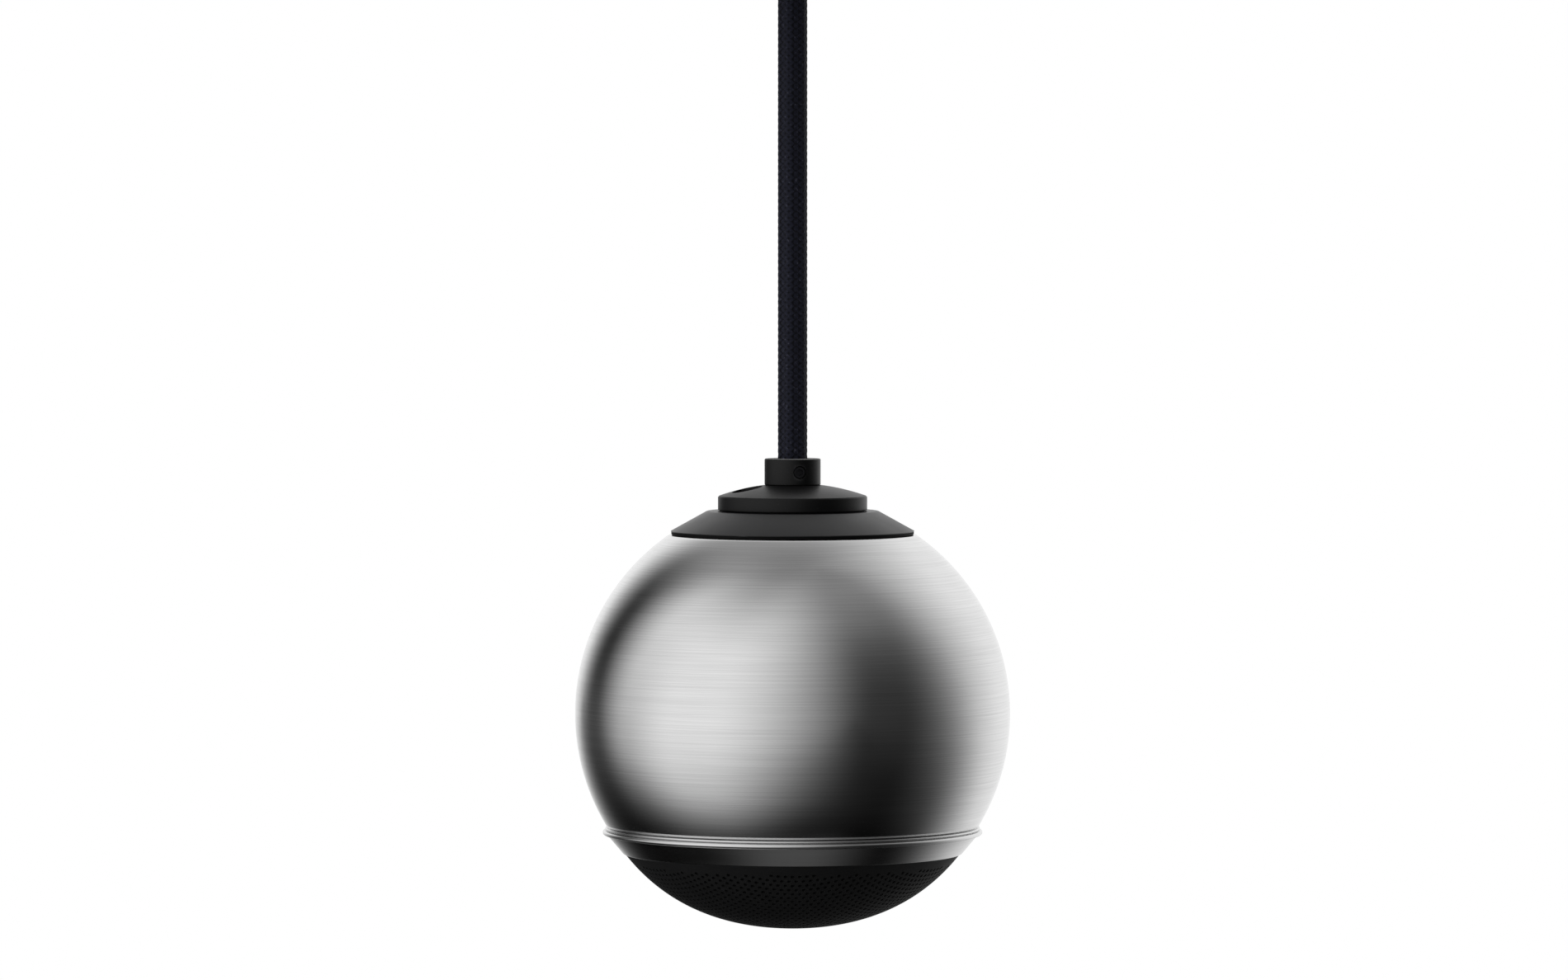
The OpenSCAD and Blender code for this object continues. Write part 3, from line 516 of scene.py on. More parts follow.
def revolve(section: Sequence[Point], segments: int, lift: float = -DROP, closed: bool = True) -> Shape:
    """Turns a section about the axis.

    Args:
        section: points (radius, height); a radius of 0 makes one point on the axis.
        segments: steps round the axis.
        lift: added to each height; the usual one moves ball heights into the row frame.
        closed: True where the section's last point joins its first.

    Returns:
        The corners in millimetres and the faces.
    """
    corners: list[Place] = []
    rings: list[list[int]] = []
    turns = [2 * math.pi * k / segments for k in range(segments)]
    for radius, height in section:
        first = len(corners)
        if radius < 1e-6:
            corners.append((0.0, 0.0, height + lift))
            rings.append([first] * segments)
        else:
            corners.extend((radius * math.cos(a), radius * math.sin(a), height + lift) for a in turns)
            rings.append(list(range(first, first + segments)))
    faces: list[tuple[int, ...]] = []
    pairs = list(zip(rings, rings[1:])) + ([(rings[-1], rings[0])] if closed else [])
    for low, high in pairs:
        for k in range(segments):
            n = (k + 1) % segments
            face = list(dict.fromkeys((low[k], low[n], high[n], high[k])))
            if len(face) > 2:
                faces.append(tuple(face))
    return corners, faces


def smooth_route(points: Sequence[Place], steps: int = 6) -> list[Vector]:
    """Returns a smooth line through the points, with some steps between each two."""
    given = [Vector(p) for p in points]
    made = []
    for i in range(len(given) - 1):
        p0, p1, p2, p3 = given[max(i - 1, 0)], given[i], given[i + 1], given[min(i + 2, len(given) - 1)]
        for k in range(steps):
            t = k / steps
            made.append(0.5 * ((2 * p1) + (p2 - p0) * t + (2 * p0 - 5 * p1 + 4 * p2 - p3) * t * t + (3 * p1 - p0 - 3 * p2 + p3) * t ** 3))
    return made + [given[-1]]


def tube(route: Sequence[Vector], radius: float, sides: int = 16) -> Shape:
    """Sweeps a closed round tube along a route.

    Args:
        route: points in millimetres.
        radius: the tube's radius.
        sides: corners round the tube.

    Returns:
        The corners in millimetres and the faces.
    """
    corners: list[Place] = []
    side = Vector((0, 1, 0))
    for i, point in enumerate(route):
        ahead = (route[min(i + 1, len(route) - 1)] - route[max(i - 1, 0)]).normalized()
        side = (side - ahead * side.dot(ahead)).normalized()
        other = ahead.cross(side)
        for k in range(sides):
            a = 2 * math.pi * k / sides
            corners.append(tuple(point + radius * (math.cos(a) * side + math.sin(a) * other)))
    faces: list[tuple[int, ...]] = []
    for i in range(len(route) - 1):
        for k in range(sides):
            n = (k + 1) % sides
            faces.append((i * sides + k, i * sides + n, (i + 1) * sides + n, (i + 1) * sides + k))
    last = (len(route) - 1) * sides
    return corners, faces + [tuple(range(sides)), tuple(range(last + sides - 1, last - 1, -1))]


def joined(shapes: Iterable[Shape]) -> Shape:
    """Returns several shapes as one."""
    corners: list[Place] = []
    faces: list[tuple[int, ...]] = []
    for more_corners, more_faces in shapes:
        first = len(corners)
        corners.extend(more_corners)
        faces.extend(tuple(first + i for i in face) for face in more_faces)
    return corners, faces


def turned_to(shape: Shape, matrix: Matrix) -> Shape:
    """Returns a shape moved by a matrix in millimetres."""
    return [tuple(matrix @ Vector(c)) for c in shape[0]], shape[1]


def along_radius(angle: float, height: float) -> Matrix:
    """Returns the matrix that lays the Z axis along a radius, at an angle in degrees and a height."""
    return Matrix.Translation((0, 0, height)) @ Matrix.Rotation(math.radians(angle), 4, "Z") @ Matrix.Rotation(math.pi / 2, 4, "Y")


def solid_object(name: str, shape: Shape) -> bpy.types.Object:
    """Makes a mesh object of a closed shape, with its normals outwards."""
    mesh = bpy.data.meshes.new(name)
    mesh.from_pydata([[c * MM for c in corner] for corner in shape[0]], [], shape[1])
    work = bmesh.new()
    work.from_mesh(mesh)
    bmesh.ops.recalc_face_normals(work, faces=work.faces)
    work.to_mesh(mesh)
    work.free()
    made = bpy.data.objects.new(name, mesh)
    bpy.context.scene.collection.objects.link(made)
    return made


def bore(target: bpy.types.Object, cutters: Iterable[Shape]) -> None:
    """Cuts shapes out of an object.

    Args:
        target: the object, whose mesh is changed.
        cutters: closed shapes in millimetres.
    """
    for shape in cutters:
        cutter = solid_object("cutter", shape)
        cut = target.modifiers.new("bore", "BOOLEAN")
        cut.operation, cut.solver, cut.object = "DIFFERENCE", "EXACT", cutter
        made = bpy.data.meshes.new_from_object(target.evaluated_get(bpy.context.evaluated_depsgraph_get()))
        target.modifiers.clear()
        target.data = made
        bpy.data.objects.remove(cutter)


def rod(radius: float, low: float, high: float, sides: int = 48) -> Shape:
    """Returns a round rod along Z, made to cut holes with."""
    return revolve([(0, low), (radius, low), (radius, high), (0, high)], sides, lift=0.0, closed=False)


def block(low: Place, high: Place) -> Shape:
    """Returns an upright block between two corners, made to cut slots with."""
    corners = [(x, y, z) for z in (low[2], high[2]) for x, y in ((low[0], low[1]), (high[0], low[1]), (high[0], high[1]), (low[0], high[1]))]
    return corners, [(3, 2, 1, 0), (4, 5, 6, 7), (0, 1, 5, 4), (1, 2, 6, 5), (2, 3, 7, 6), (3, 0, 4, 7)]


def bevelled(target: bpy.types.Object, width: float, segments: int = 3, angle: float = 40.0) -> None:
    """Rounds an object's sharp edges, over a width in millimetres."""
    soft = target.modifiers.new("soft_edges", "BEVEL")
    soft.width, soft.segments, soft.limit_method = width * MM, segments, "ANGLE"
    soft.angle_limit, soft.use_clamp_overlap, soft.harden_normals = math.radians(angle), True, False
    made = bpy.data.meshes.new_from_object(target.evaluated_get(bpy.context.evaluated_depsgraph_get()))
    target.modifiers.clear()
    target.data = made


def finished(
    made: bpy.types.Object,
    finish: Finish,
    nodes: Sequence[str] = (),
    body: Body = Body.HOUSING,
    sharp: float = 38.0,
) -> bpy.types.Object:
    """Dresses an object as a piece of the speaker.

    Args:
        made: the object, already in its place.
        finish: what its surface looks like.
        nodes: the CAD nodes that it stands for.
        body: the CAD body that it rides on.
        sharp: edges turning more than this many degrees stay crisp.

    Returns:
        The same object.
    """
    made.data.materials.clear()
    made.data.materials.append(finish.material())
    made.data.polygons.foreach_set("use_smooth", [True] * len(made.data.polygons))
    made.data.set_sharp_from_angle(angle=math.radians(sharp))
    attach(made, body.value)
    if nodes:
        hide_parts(*nodes)
    LOG.info("%s: %d faces, rides on %s, stands for %s", made.name, len(made.data.polygons), body.value, ", ".join(nodes) or "nothing")
    return made


# The camera and the studio


@dataclass(frozen=True)
class SoftCard:
    """A soft oval patch in the studio's surroundings, placed and sized in degrees."""

    azimuth: float
    elevation: float
    half_width: float
    half_height: float
    level: float
    softness: float
    roll: float = 0.0

    def axes(self) -> tuple[Vector, Vector, Vector]:
        """Returns the directions of its middle, its side and its lower edge."""
        turn, rise, roll = (math.radians(a) for a in (self.azimuth, self.elevation, self.roll))
        middle = Vector((math.sin(turn) * math.cos(rise), -math.cos(turn) * math.cos(rise), math.sin(rise)))
        side = Vector((math.cos(turn), math.sin(turn), 0.0))
        down = side.cross(middle)
        return middle, side * math.cos(roll) + down * math.sin(roll), down * math.cos(roll) - side * math.sin(roll)


@dataclass(frozen=True)
class Studio:
    """Camera, surroundings and floor. Azimuth 0 is the camera's side and 90 the right."""

    camera_place: Place = (-1.97, -2000.0, -75.0)
    camera_fall: float = 2.25
    lens: float = 200.0
    sensor: float = 36.0
    floor_z: float = -1150.0
    floor_r: float = 500.0
    base_level: float = 0.93
    cards: tuple[SoftCard, ...] = (
        SoftCard(51, -9, 53, 106, level=0.05, softness=0.84, roll=4),
        SoftCard(-129, 20, 17, 50, level=0.05, softness=0.95, roll=5),
        SoftCard(0, 90, 30, 30, level=0.25, softness=0.97),
        SoftCard(-148, -67, 41, 50, level=0.0, softness=0.5),
        SoftCard(175, -71, 80, 27, level=0.0, softness=0.97, roll=-20),
        SoftCard(33, -90, 46, 64, level=0.0, softness=0.97),
        SoftCard(0, -90, 16, 16, level=0.09, softness=0.9),
    )

    def build(self) -> None:
        """Makes the camera, the world and the floor."""
        scene = bpy.context.scene
        scene.view_settings.view_transform = "Standard"
        view = bpy.data.cameras.new("view")
        view.lens, view.sensor_width, view.clip_end = self.lens, self.sensor, 50.0
        camera = bpy.data.objects.new("view", view)
        camera.location = [c * MM for c in self.camera_place]
        camera.rotation_euler = (math.radians(90.0 - self.camera_fall), 0.0, 0.0)
        scene.collection.objects.link(camera)
        scene.camera = camera
        self.light_world(scene)
        self.lay_floor()

    def light_world(self, scene: bpy.types.Scene) -> None:
        """Lights the scene from a white room with soft dark gaps, which the camera sees as plain white.

        Args:
            scene: the scene that gets the world.
        """
        world = bpy.data.worlds.new("studio")
        scene.world = world
        world.use_nodes = True
        world.node_tree.nodes.clear()
        sketch = NodeSketch(world.node_tree)
        way = sketch.node("TexCoord").outputs["Generated"]
        level: Any = self.base_level
        for card in self.cards:
            ahead, aside, above = (
                sketch.node("VectorMath", {0: way, 1: axis}, operation="DOT_PRODUCT").outputs["Value"] for axis in card.axes()
            )
            across = sketch.sum("DEGREES", sketch.sum("ARCTAN2", sketch.sum("ABSOLUTE", aside), ahead))
            up = sketch.sum("DEGREES", sketch.sum("ARCSINE", sketch.sum("ABSOLUTE", above)))
            cubes = (
                sketch.sum("POWER", sketch.sum("DIVIDE", angle, span), 3.0)
                for angle, span in ((across, card.half_width), (up, card.half_height))
            )
            reach = sketch.sum("POWER", sketch.sum("ADD", *cubes), 1.0 / 3.0)
            share = sketch.step(reach, 1.0 - card.softness, 1.0 + card.softness, 1.0, 0.0)
            level = sketch.sum("MULTIPLY_ADD", share, sketch.sum("SUBTRACT", card.level, level), level)
        path = sketch.node("LightPath").outputs
        plain = sketch.sum("MAXIMUM", path["Is Camera Ray"], path["Is Transmission Ray"])
        strength = sketch.sum("MULTIPLY_ADD", plain, sketch.sum("SUBTRACT", 1.0, level), level)
        sketch.node("OutputWorld", {0: sketch.node("Background", {0: (1.0, 1.0, 1.0, 1.0), 1: strength}).outputs[0]})

    def lay_floor(self) -> None:
        """Lays a pale round floor far below, seen from above only, which fades into the white."""
        shape = revolve([(0.0, self.floor_z), (self.floor_r * 0.5, self.floor_z), (self.floor_r, self.floor_z)], 96, lift=0.0, closed=False)
        mesh = bpy.data.meshes.new("floor")
        mesh.from_pydata([[c * MM for c in corner] for corner in shape[0]], [], shape[1])
        floor = bpy.data.objects.new("floor", mesh)
        bpy.context.scene.collection.objects.link(floor)
        if mesh.polygons[0].normal.z < 0:
            mesh.flip_normals()
        material = bpy.data.materials.new("floor_white")
        material.use_nodes = True
        material.node_tree.nodes.clear()
        sketch = NodeSketch(material.node_tree)
        reach = sketch.node("VectorMath", {0: sketch.place()}, operation="LENGTH").outputs["Value"]
        path = sketch.node("LightPath").outputs
        camera_ray = path["Is Camera Ray"]
        outer = sketch.step(reach, abs(self.floor_z) * MM * 1.01, math.hypot(self.floor_z, self.floor_r) * MM)
        pale = sketch.node("BsdfDiffuse", {0: (0.9, 0.9, 0.9, 1.0)}).outputs[0]
        lift = sketch.node("Emission", {1: sketch.sum("MULTIPLY", camera_ray, 0.42)}).outputs[0]
        lit = sketch.node("AddShader", {0: pale, 1: lift}).outputs[0]
        white = sketch.node("Emission", {1: 1.0}).outputs[0]
        faded = sketch.node("MixShader", {0: sketch.sum("MULTIPLY", camera_ray, outer), 1: lit, 2: white}).outputs[0]
        clear = sketch.node("BsdfTransparent").outputs[0]
        unseen = sketch.sum("MAXIMUM", sketch.node("NewGeometry").outputs["Backfacing"], path["Is Glossy Ray"])
        seen = sketch.node("MixShader", {0: unseen, 1: faded, 2: clear}).outputs[0]
        sketch.node("OutputMaterial", {0: seen})
        mesh.materials.append(material)


# The speaker's sub-assemblies


@dataclass(frozen=True)
class HangingCord:
    """Braided cord that hangs straight from the ceiling fitting into its collar."""

    diameter: float = 6.8
    low_z: float = -150.0
    high_z: float = -15.0
    route_step: float = 9.0
    exit_z: float = -146.4
    carriers: int = 12
    lay_length: float = 18.6
    strand_width: float = 1.16
    strand_height: float = 0.42
    wave: float = 0.14
    mid_r: float = 3.07
    core_r: float = 2.8
    points_a_crossing: int = 4
    held_by: tuple[str, ...] = (
        "cup_spun", "cup_bolts", "grip_turned", "grip_grub", "bracket_pressed", "block_moulded", "block_screws",
        "core_red", "core_black", "ceiling_grip_nut", "ceiling_cord_stop",
    )

    def strand(self, lay: Lay, number: int) -> tuple[np.ndarray, np.ndarray]:
        """Lays out one strand.

        Args:
            lay: which way round it runs.
            number: its place among the strands of that lay.

        Returns:
            Its corners in millimetres, ring by ring, and the UV of each corner.
        """
        crossings = 2 * self.carriers * (self.high_z - self.low_z) / self.lay_length
        rings = int(crossings * self.points_a_crossing) + 1
        height = np.linspace(self.low_z, self.high_z, rings)
        turn = lay.value * 2 * np.pi * (height - self.low_z) / self.lay_length + 2 * np.pi * number / self.carriers
        count = 2 * self.carriers * (height - self.low_z) / self.lay_length
        phase = count / 2 + (number if lay is Lay.RIGHT else number + 1)
        radius = self.mid_r + self.wave * np.clip(1.5 * np.sin(np.pi * phase), -1, 1)
        middle = np.stack([radius * np.cos(turn), radius * np.sin(turn), height], 1)
        out = np.stack([np.cos(turn), np.sin(turn), np.zeros(rings)], 1)
        ahead = np.gradient(middle, axis=0)
        ahead /= np.linalg.norm(ahead, axis=1)[:, None]
        aside = np.cross(ahead, out)
        aside /= np.linalg.norm(aside, axis=1)[:, None]
        section = [(-0.5, 0.0), (-0.28, 0.42), (0.28, 0.42), (0.5, 0.0), (0.25, -0.45), (-0.25, -0.45)]
        corners = np.stack([middle + u * self.strand_width * aside + v * self.strand_height * out for u, v in section], 1)
        across = np.array([u + 0.5 for u, _ in section])
        uv = np.stack(np.broadcast_arrays(across[None, :], (count / 2)[:, None]), 2)
        return corners, uv

    def braid(self) -> bpy.types.Object:
        """Makes the cord: its inner sheath and the strands braided over it.

        Returns:
            The cord as one mesh, with the strands' UV map.
        """
        core = tube([Vector((0, 0, z)) for z in np.linspace(self.low_z, self.high_z, 10)], self.core_r, 24)
        corners, faces = [list(core[0])], list(core[1])
        flat = [np.zeros((len(core[0]), 2))]
        total = len(core[0])
        for lay in Lay:
            for number in range(self.carriers):
                points, uv = self.strand(lay, number)
                rings, sides = points.shape[:2]
                grid = total + np.arange(rings * sides).reshape(rings, sides)
                following = np.roll(grid, -1, axis=1)
                faces.extend(map(tuple, np.stack([grid[:-1], following[:-1], following[1:], grid[1:]], 2).reshape(-1, 4).tolist()))
                faces.extend([tuple(grid[0, ::-1].tolist()), tuple(grid[-1].tolist())])
                corners.append(points.reshape(-1, 3).tolist())
                flat.append(uv.reshape(-1, 2))
                total += rings * sides
        made = solid_object("cord_braid", ([c for part in corners for c in part], faces))
        layer = made.data.uv_layers.new(name="strand")
        loops = np.zeros(len(made.data.loops), np.int32)
        made.data.loops.foreach_get("vertex_index", loops)
        layer.data.foreach_set("uv", np.concatenate(flat)[loops].ravel().astype(np.float32))
        return made

    def build(self) -> None:
        """Makes the cord, dresses it in yarn and keeps it out of glossy rays."""
        cord = finished(self.braid(), YARN, ["cord"], sharp=80.0)
        cord.visible_glossy = False


@dataclass(frozen=True)
class Ball:
    """Spun steel shell and the turned ring that closes it."""

    radius: float = 50.0
    wall: float = 1.2
    edge_depth: float = 25.9
    lip_h: float = 1.6
    lip_wall: float = 2.2
    land_r: float = 28.45
    hole_r: float = 20.0
    bead_proud: float = 0.9
    bead_r: float = 0.5
    fine_bead_r: float = 0.24
    ring_h: float = 6.3
    foot_wall: float = 0.3
    opening_r: float = 37.2
    ledge_in_r: float = 32.9
    spigot_wall: float = 1.3
    spigot_h: float = 5.0
    screw_circle_r: float = 34.8
    segments: int = 256

    def edge_r(self) -> float:
        """Returns the shell's radius at its lower edge."""
        return math.sqrt(self.radius**2 - self.edge_depth**2)

    def shell(self) -> bpy.types.Object:
        """Makes the shell, open below and with a flat land on top."""
        edge_r, edge_z = self.edge_r(), -self.edge_depth
        land_z = math.sqrt(self.radius**2 - self.land_r**2)
        inner = self.radius - self.wall
        low = math.degrees(math.asin(edge_z / self.radius))
        high = math.degrees(math.asin(land_z / self.radius))
        lip_r, lip_top = edge_r - self.lip_wall, edge_z + self.lip_h
        inner_low = math.degrees(math.asin(lip_top / inner))
        inner_high = math.degrees(math.asin((land_z - self.wall) / inner))
        section = [(edge_r - 0.16, edge_z), (edge_r - 0.04, edge_z + 0.03)]
        section += arc((0, 0), self.radius, low + 0.12, high - 0.1, 110)
        section += [(self.land_r - 0.1, land_z), (self.hole_r + 0.1, land_z), (self.hole_r, land_z - 0.1), (self.hole_r, land_z - self.wall)]
        section += arc((0, 0), inner, inner_high, inner_low, 60)
        section += [(lip_r, lip_top), (lip_r, edge_z)]
        return solid_object("shell_brushed", revolve(section, self.segments))

    def ring(self) -> bpy.types.Object:
        """Makes the ring: spigot, ledge, two beads, a groove and a conical band."""
        edge_r, edge_z = self.edge_r(), -self.edge_depth
        floor_z = edge_z - self.ring_h
        spigot_r = edge_r - self.lip_wall - 0.05
        ledge_z = edge_z + 1.0
        lip_r = self.opening_r + 1.4 + PLAY
        foot_r = lip_r + self.foot_wall
        section = [
            (spigot_r - self.spigot_wall, edge_z + self.spigot_h), (spigot_r - self.spigot_wall, ledge_z),
            (self.ledge_in_r, ledge_z), (self.ledge_in_r, ledge_z - 2.0), (self.opening_r, ledge_z - 2.0),
            (self.opening_r, floor_z + 1.2), (lip_r, floor_z + 1.2), (lip_r, floor_z + 0.05), (lip_r + 0.05, floor_z),
            (foot_r - 0.03, floor_z + 0.11), (foot_r, floor_z + 0.15),
        ]
        section += [(edge_r - 0.3, edge_z - 2.15), (edge_r - 0.4, edge_z - 2.0)]
        section += arc((edge_r + self.bead_proud - self.bead_r, edge_z - 1.42), self.bead_r, -100, 118, 18)
        section += [(edge_r - 0.2, edge_z - 0.83)]
        section += arc((edge_r + 0.08, edge_z - 0.5), self.fine_bead_r, -74, 90, 10)
        section += [(edge_r - 0.35, edge_z - 0.22), (edge_r - 0.6, edge_z), (spigot_r, edge_z), (spigot_r, edge_z + self.spigot_h)]
        made = solid_object("ring_turned", revolve(section, self.segments))
        for k in range(4):
            place = Matrix.Rotation(math.radians(45 + 90 * k), 4, "Z") @ Matrix.Translation((self.screw_circle_r, 0, -DROP))
            bore(made, [turned_to(rod(1.35, ledge_z - 2.6, ledge_z + 0.8, 24), place)])
        return made

    def build(self) -> None:
        """Makes both pieces and dresses them in brushed steel."""
        finished(self.shell(), BALL_STEEL, ["ball_shell"])
        finished(self.ring(), RING_STEEL, ["bezel_ring"], sharp=50.0)


@dataclass(frozen=True)
class Grille:
    """Domed grille of perforated sheet, with cloth behind it."""

    drop: float = 17.2
    edge_slope: float = 52.0
    sheet: float = 0.6
    edge_r: float = 38.6
    floor_z: float = -32.2
    rim_h: float = 1.0
    rim_steps: int = 240
    pitch: float = 1.8
    hole_r: float = 0.5
    field_r: float = 41.0
    cloth_gap: float = 0.85
    cloth_t: float = 0.3

    def curve(self, depth: float = 0.0) -> tuple[np.ndarray, np.ndarray]:
        """Draws the dome's curve from the axis to the ring.

        Args:
            depth: how far inside the dome's face the curve lies.

        Returns:
            Distances along the face, and the curve's points (radius, height) there.
        """
        low, edge = np.array([0.0, self.floor_z - self.drop]), np.array([self.edge_r, self.floor_z])
        bend = np.array([self.edge_r - self.drop / math.tan(math.radians(self.edge_slope)), low[1]])
        t = np.linspace(0, 1, 401)[:, None]
        line = (1 - t) ** 2 * low + 2 * t * (1 - t) * bend + t**2 * edge
        ahead = (1 - t) * (bend - low) + t * (edge - bend)
        inwards = np.stack([-ahead[:, 1], ahead[:, 0]], 1) / np.linalg.norm(ahead, axis=1)[:, None]
        reach = np.concatenate([[0.0], np.cumsum(np.linalg.norm(np.diff(line, axis=0), axis=1))])
        return reach, line + depth * inwards

    def flat_sheet(self) -> tuple[list[Point], list[tuple[int, ...]]]:
        """Lays the perforated sheet out flat.

        Returns:
            Its points by distance along the sheet from the dome's lowest point, and its faces.
        """
        points: list[Point] = []
        known: dict[tuple[int, int], int] = {}

        def corner(x: float, y: float) -> int:
            """Returns the number of the point at a place, which neighbours share."""
            key = (round(x * 1e4), round(y * 1e4))
            if key not in known:
                known[key] = len(points)
                points.append((x, y))
            return known[key]

        faces: list[tuple[int, ...]] = []
        reach = self.pitch / math.sqrt(3)
        rows = int(self.field_r / (self.pitch * 0.75)) + 2
        for row in range(-rows, rows + 1):
            for column in range(-rows, rows + 1):
                x = (column + 0.5 * (row % 2)) * self.pitch
                y = row * self.pitch * math.sqrt(3) / 2
                if math.hypot(x, y) > self.field_r:
                    continue
                outer, inner = [], []
                for k in range(12):
                    a = math.radians(30 * k)
                    span = reach if k % 2 else reach * math.cos(math.pi / 6)
                    outer.append(corner(x + span * math.cos(a), y + span * math.sin(a)))
                    inner.append(corner(x + self.hole_r * math.cos(a), y + self.hole_r * math.sin(a)))
                faces.extend((outer[k], outer[(k + 1) % 12], inner[(k + 1) % 12], inner[k]) for k in range(12))
        return points, faces

    def filled_edge(self, points: list[Point], faces: list[tuple[int, ...]]) -> tuple[list[Point], list[tuple[int, ...]]]:
        """Fills the plain margin between the outermost holes and the rim.

        Args:
            points: the flat sheet's points.
            faces: its faces.

        Returns:
            Points and faces with the margin and the rim added.
        """
        work = bmesh.new()
        corners = [work.verts.new((x, y, 0)) for x, y in points]
        for face in faces:
            work.faces.new([corners[i] for i in face])
        reach = self.pitch / math.sqrt(3)
        border = [e for e in work.edges if e.is_boundary and e.calc_length() > 0.45 * reach]
        edge_arc = float(self.curve()[0][-1])
        turns = [2 * math.pi * k / self.rim_steps for k in range(self.rim_steps)]
        circles = [
            [work.verts.new((r * math.cos(a), r * math.sin(a), 0)) for a in turns]
            for r in (edge_arc - 0.9, edge_arc - 0.3, edge_arc - 0.05, edge_arc + 0.12, edge_arc + self.rim_h)
        ]
        border += [work.edges.new((circles[0][k - 1], circles[0][k])) for k in range(self.rim_steps)]
        bmesh.ops.triangle_fill(work, use_beauty=True, use_dissolve=False, edges=border)
        for inner, outer in zip(circles, circles[1:]):
            for k in range(self.rim_steps):
                work.faces.new((inner[k - 1], inner[k], outer[k], outer[k - 1]))
        bmesh.ops.recalc_face_normals(work, faces=work.faces)
        work.verts.index_update()
        made = [(v.co.x, v.co.y) for v in work.verts], [tuple(v.index for v in f.verts) for f in work.faces]
        work.free()
        return made

    def on_dome(self, points: list[Point], depth: float) -> list[Place]:
        """Returns where the flat sheet's points lie on the dome, some way inside its face."""
        reach, line = self.curve(depth)
        x, y = np.array(points).T
        along, turn = np.hypot(x, y), np.arctan2(y, x)
        past = along - reach[-1]
        radius = np.where(past > 0, self.edge_r - depth, np.interp(along, reach, line[:, 0]))
        upright = np.maximum(self.floor_z + past, self.floor_z + 0.6 * depth)
        height = np.where(past > 0, upright, np.interp(along, reach, line[:, 1])) - DROP
        return list(zip((radius * np.cos(turn)).tolist(), (radius * np.sin(turn)).tolist(), height.tolist()))

    def perforated(self) -> bpy.types.Object:
        """Makes the dome as a closed sheet with every hole cut through."""
        points, faces = self.filled_edge(*self.flat_sheet())
        count = len(points)
        corners = self.on_dome(points, 0.0) + self.on_dome(points, self.sheet)
        sides: dict[tuple[int, int], tuple[int, int]] = {}
        for face in faces:
            for a, b in zip(face, face[1:] + face[:1]):
                key = (min(a, b), max(a, b))
                if key in sides:
                    del sides[key]
                else:
                    sides[key] = (a, b)
        walls = [(b, a, a + count, b + count) for a, b in sides.values()]
        back = [tuple(i + count for i in reversed(face)) for face in faces]
        return solid_object("grille_perforated", (corners, faces + walls + back))

    def cloth(self) -> bpy.types.Object:
        """Makes the cloth that lies inside the grille."""
        faces = [self.curve(depth)[1][:381:10] for depth in (self.cloth_gap, self.cloth_gap + self.cloth_t)]
        section = [tuple(p) for p in np.concatenate([faces[0], faces[1][::-1]]).tolist()]
        return solid_object("grille_backing_cloth", revolve(section, 128, closed=False))

    def build(self) -> None:
        """Makes the grille and its cloth."""
        finished(self.perforated(), GRILLE_BLACK, ["grille_dome"], sharp=50.0)
        finished(self.cloth(), GRILLE_CLOTH, ["grille_cloth"])


@dataclass(frozen=True)
class GrubScrew:
    """Socket grub screw, laid along a radius."""

    radius: float = 1.45
    socket_r: float = 0.85
    socket_depth: float = 1.2
    angle: float = -75.0

    def make(self, name: str, height: float, outer_r: float, length: float) -> bpy.types.Object:
        """Makes the screw.

        Args:
            name: the piece's name.
            height: its axis in the row frame.
            outer_r: distance of its outer end from the cord's axis.
            length: its length.

        Returns:
            The screw.
        """
        low, high = outer_r - length, outer_r
        section = [(0.0, low), (self.radius - 0.5, low), (self.radius, low + 0.5)]
        turns = int((length - 0.8) / 0.25)
        for k in range(turns):
            z = low + 0.5 + 0.25 * k
            section += [(self.radius, z), (self.radius - 0.14, z + 0.125)]
        section += [(self.radius, high - 0.25), (self.radius - 0.2, high), (0.0, high)]
        made = solid_object(name, turned_to(revolve(section, 40, lift=0.0, closed=False), along_radius(self.angle, height)))
        bore(made, [turned_to(rod(self.socket_r, high - self.socket_depth, high + 1.0, 6), along_radius(self.angle, height))])
        return made


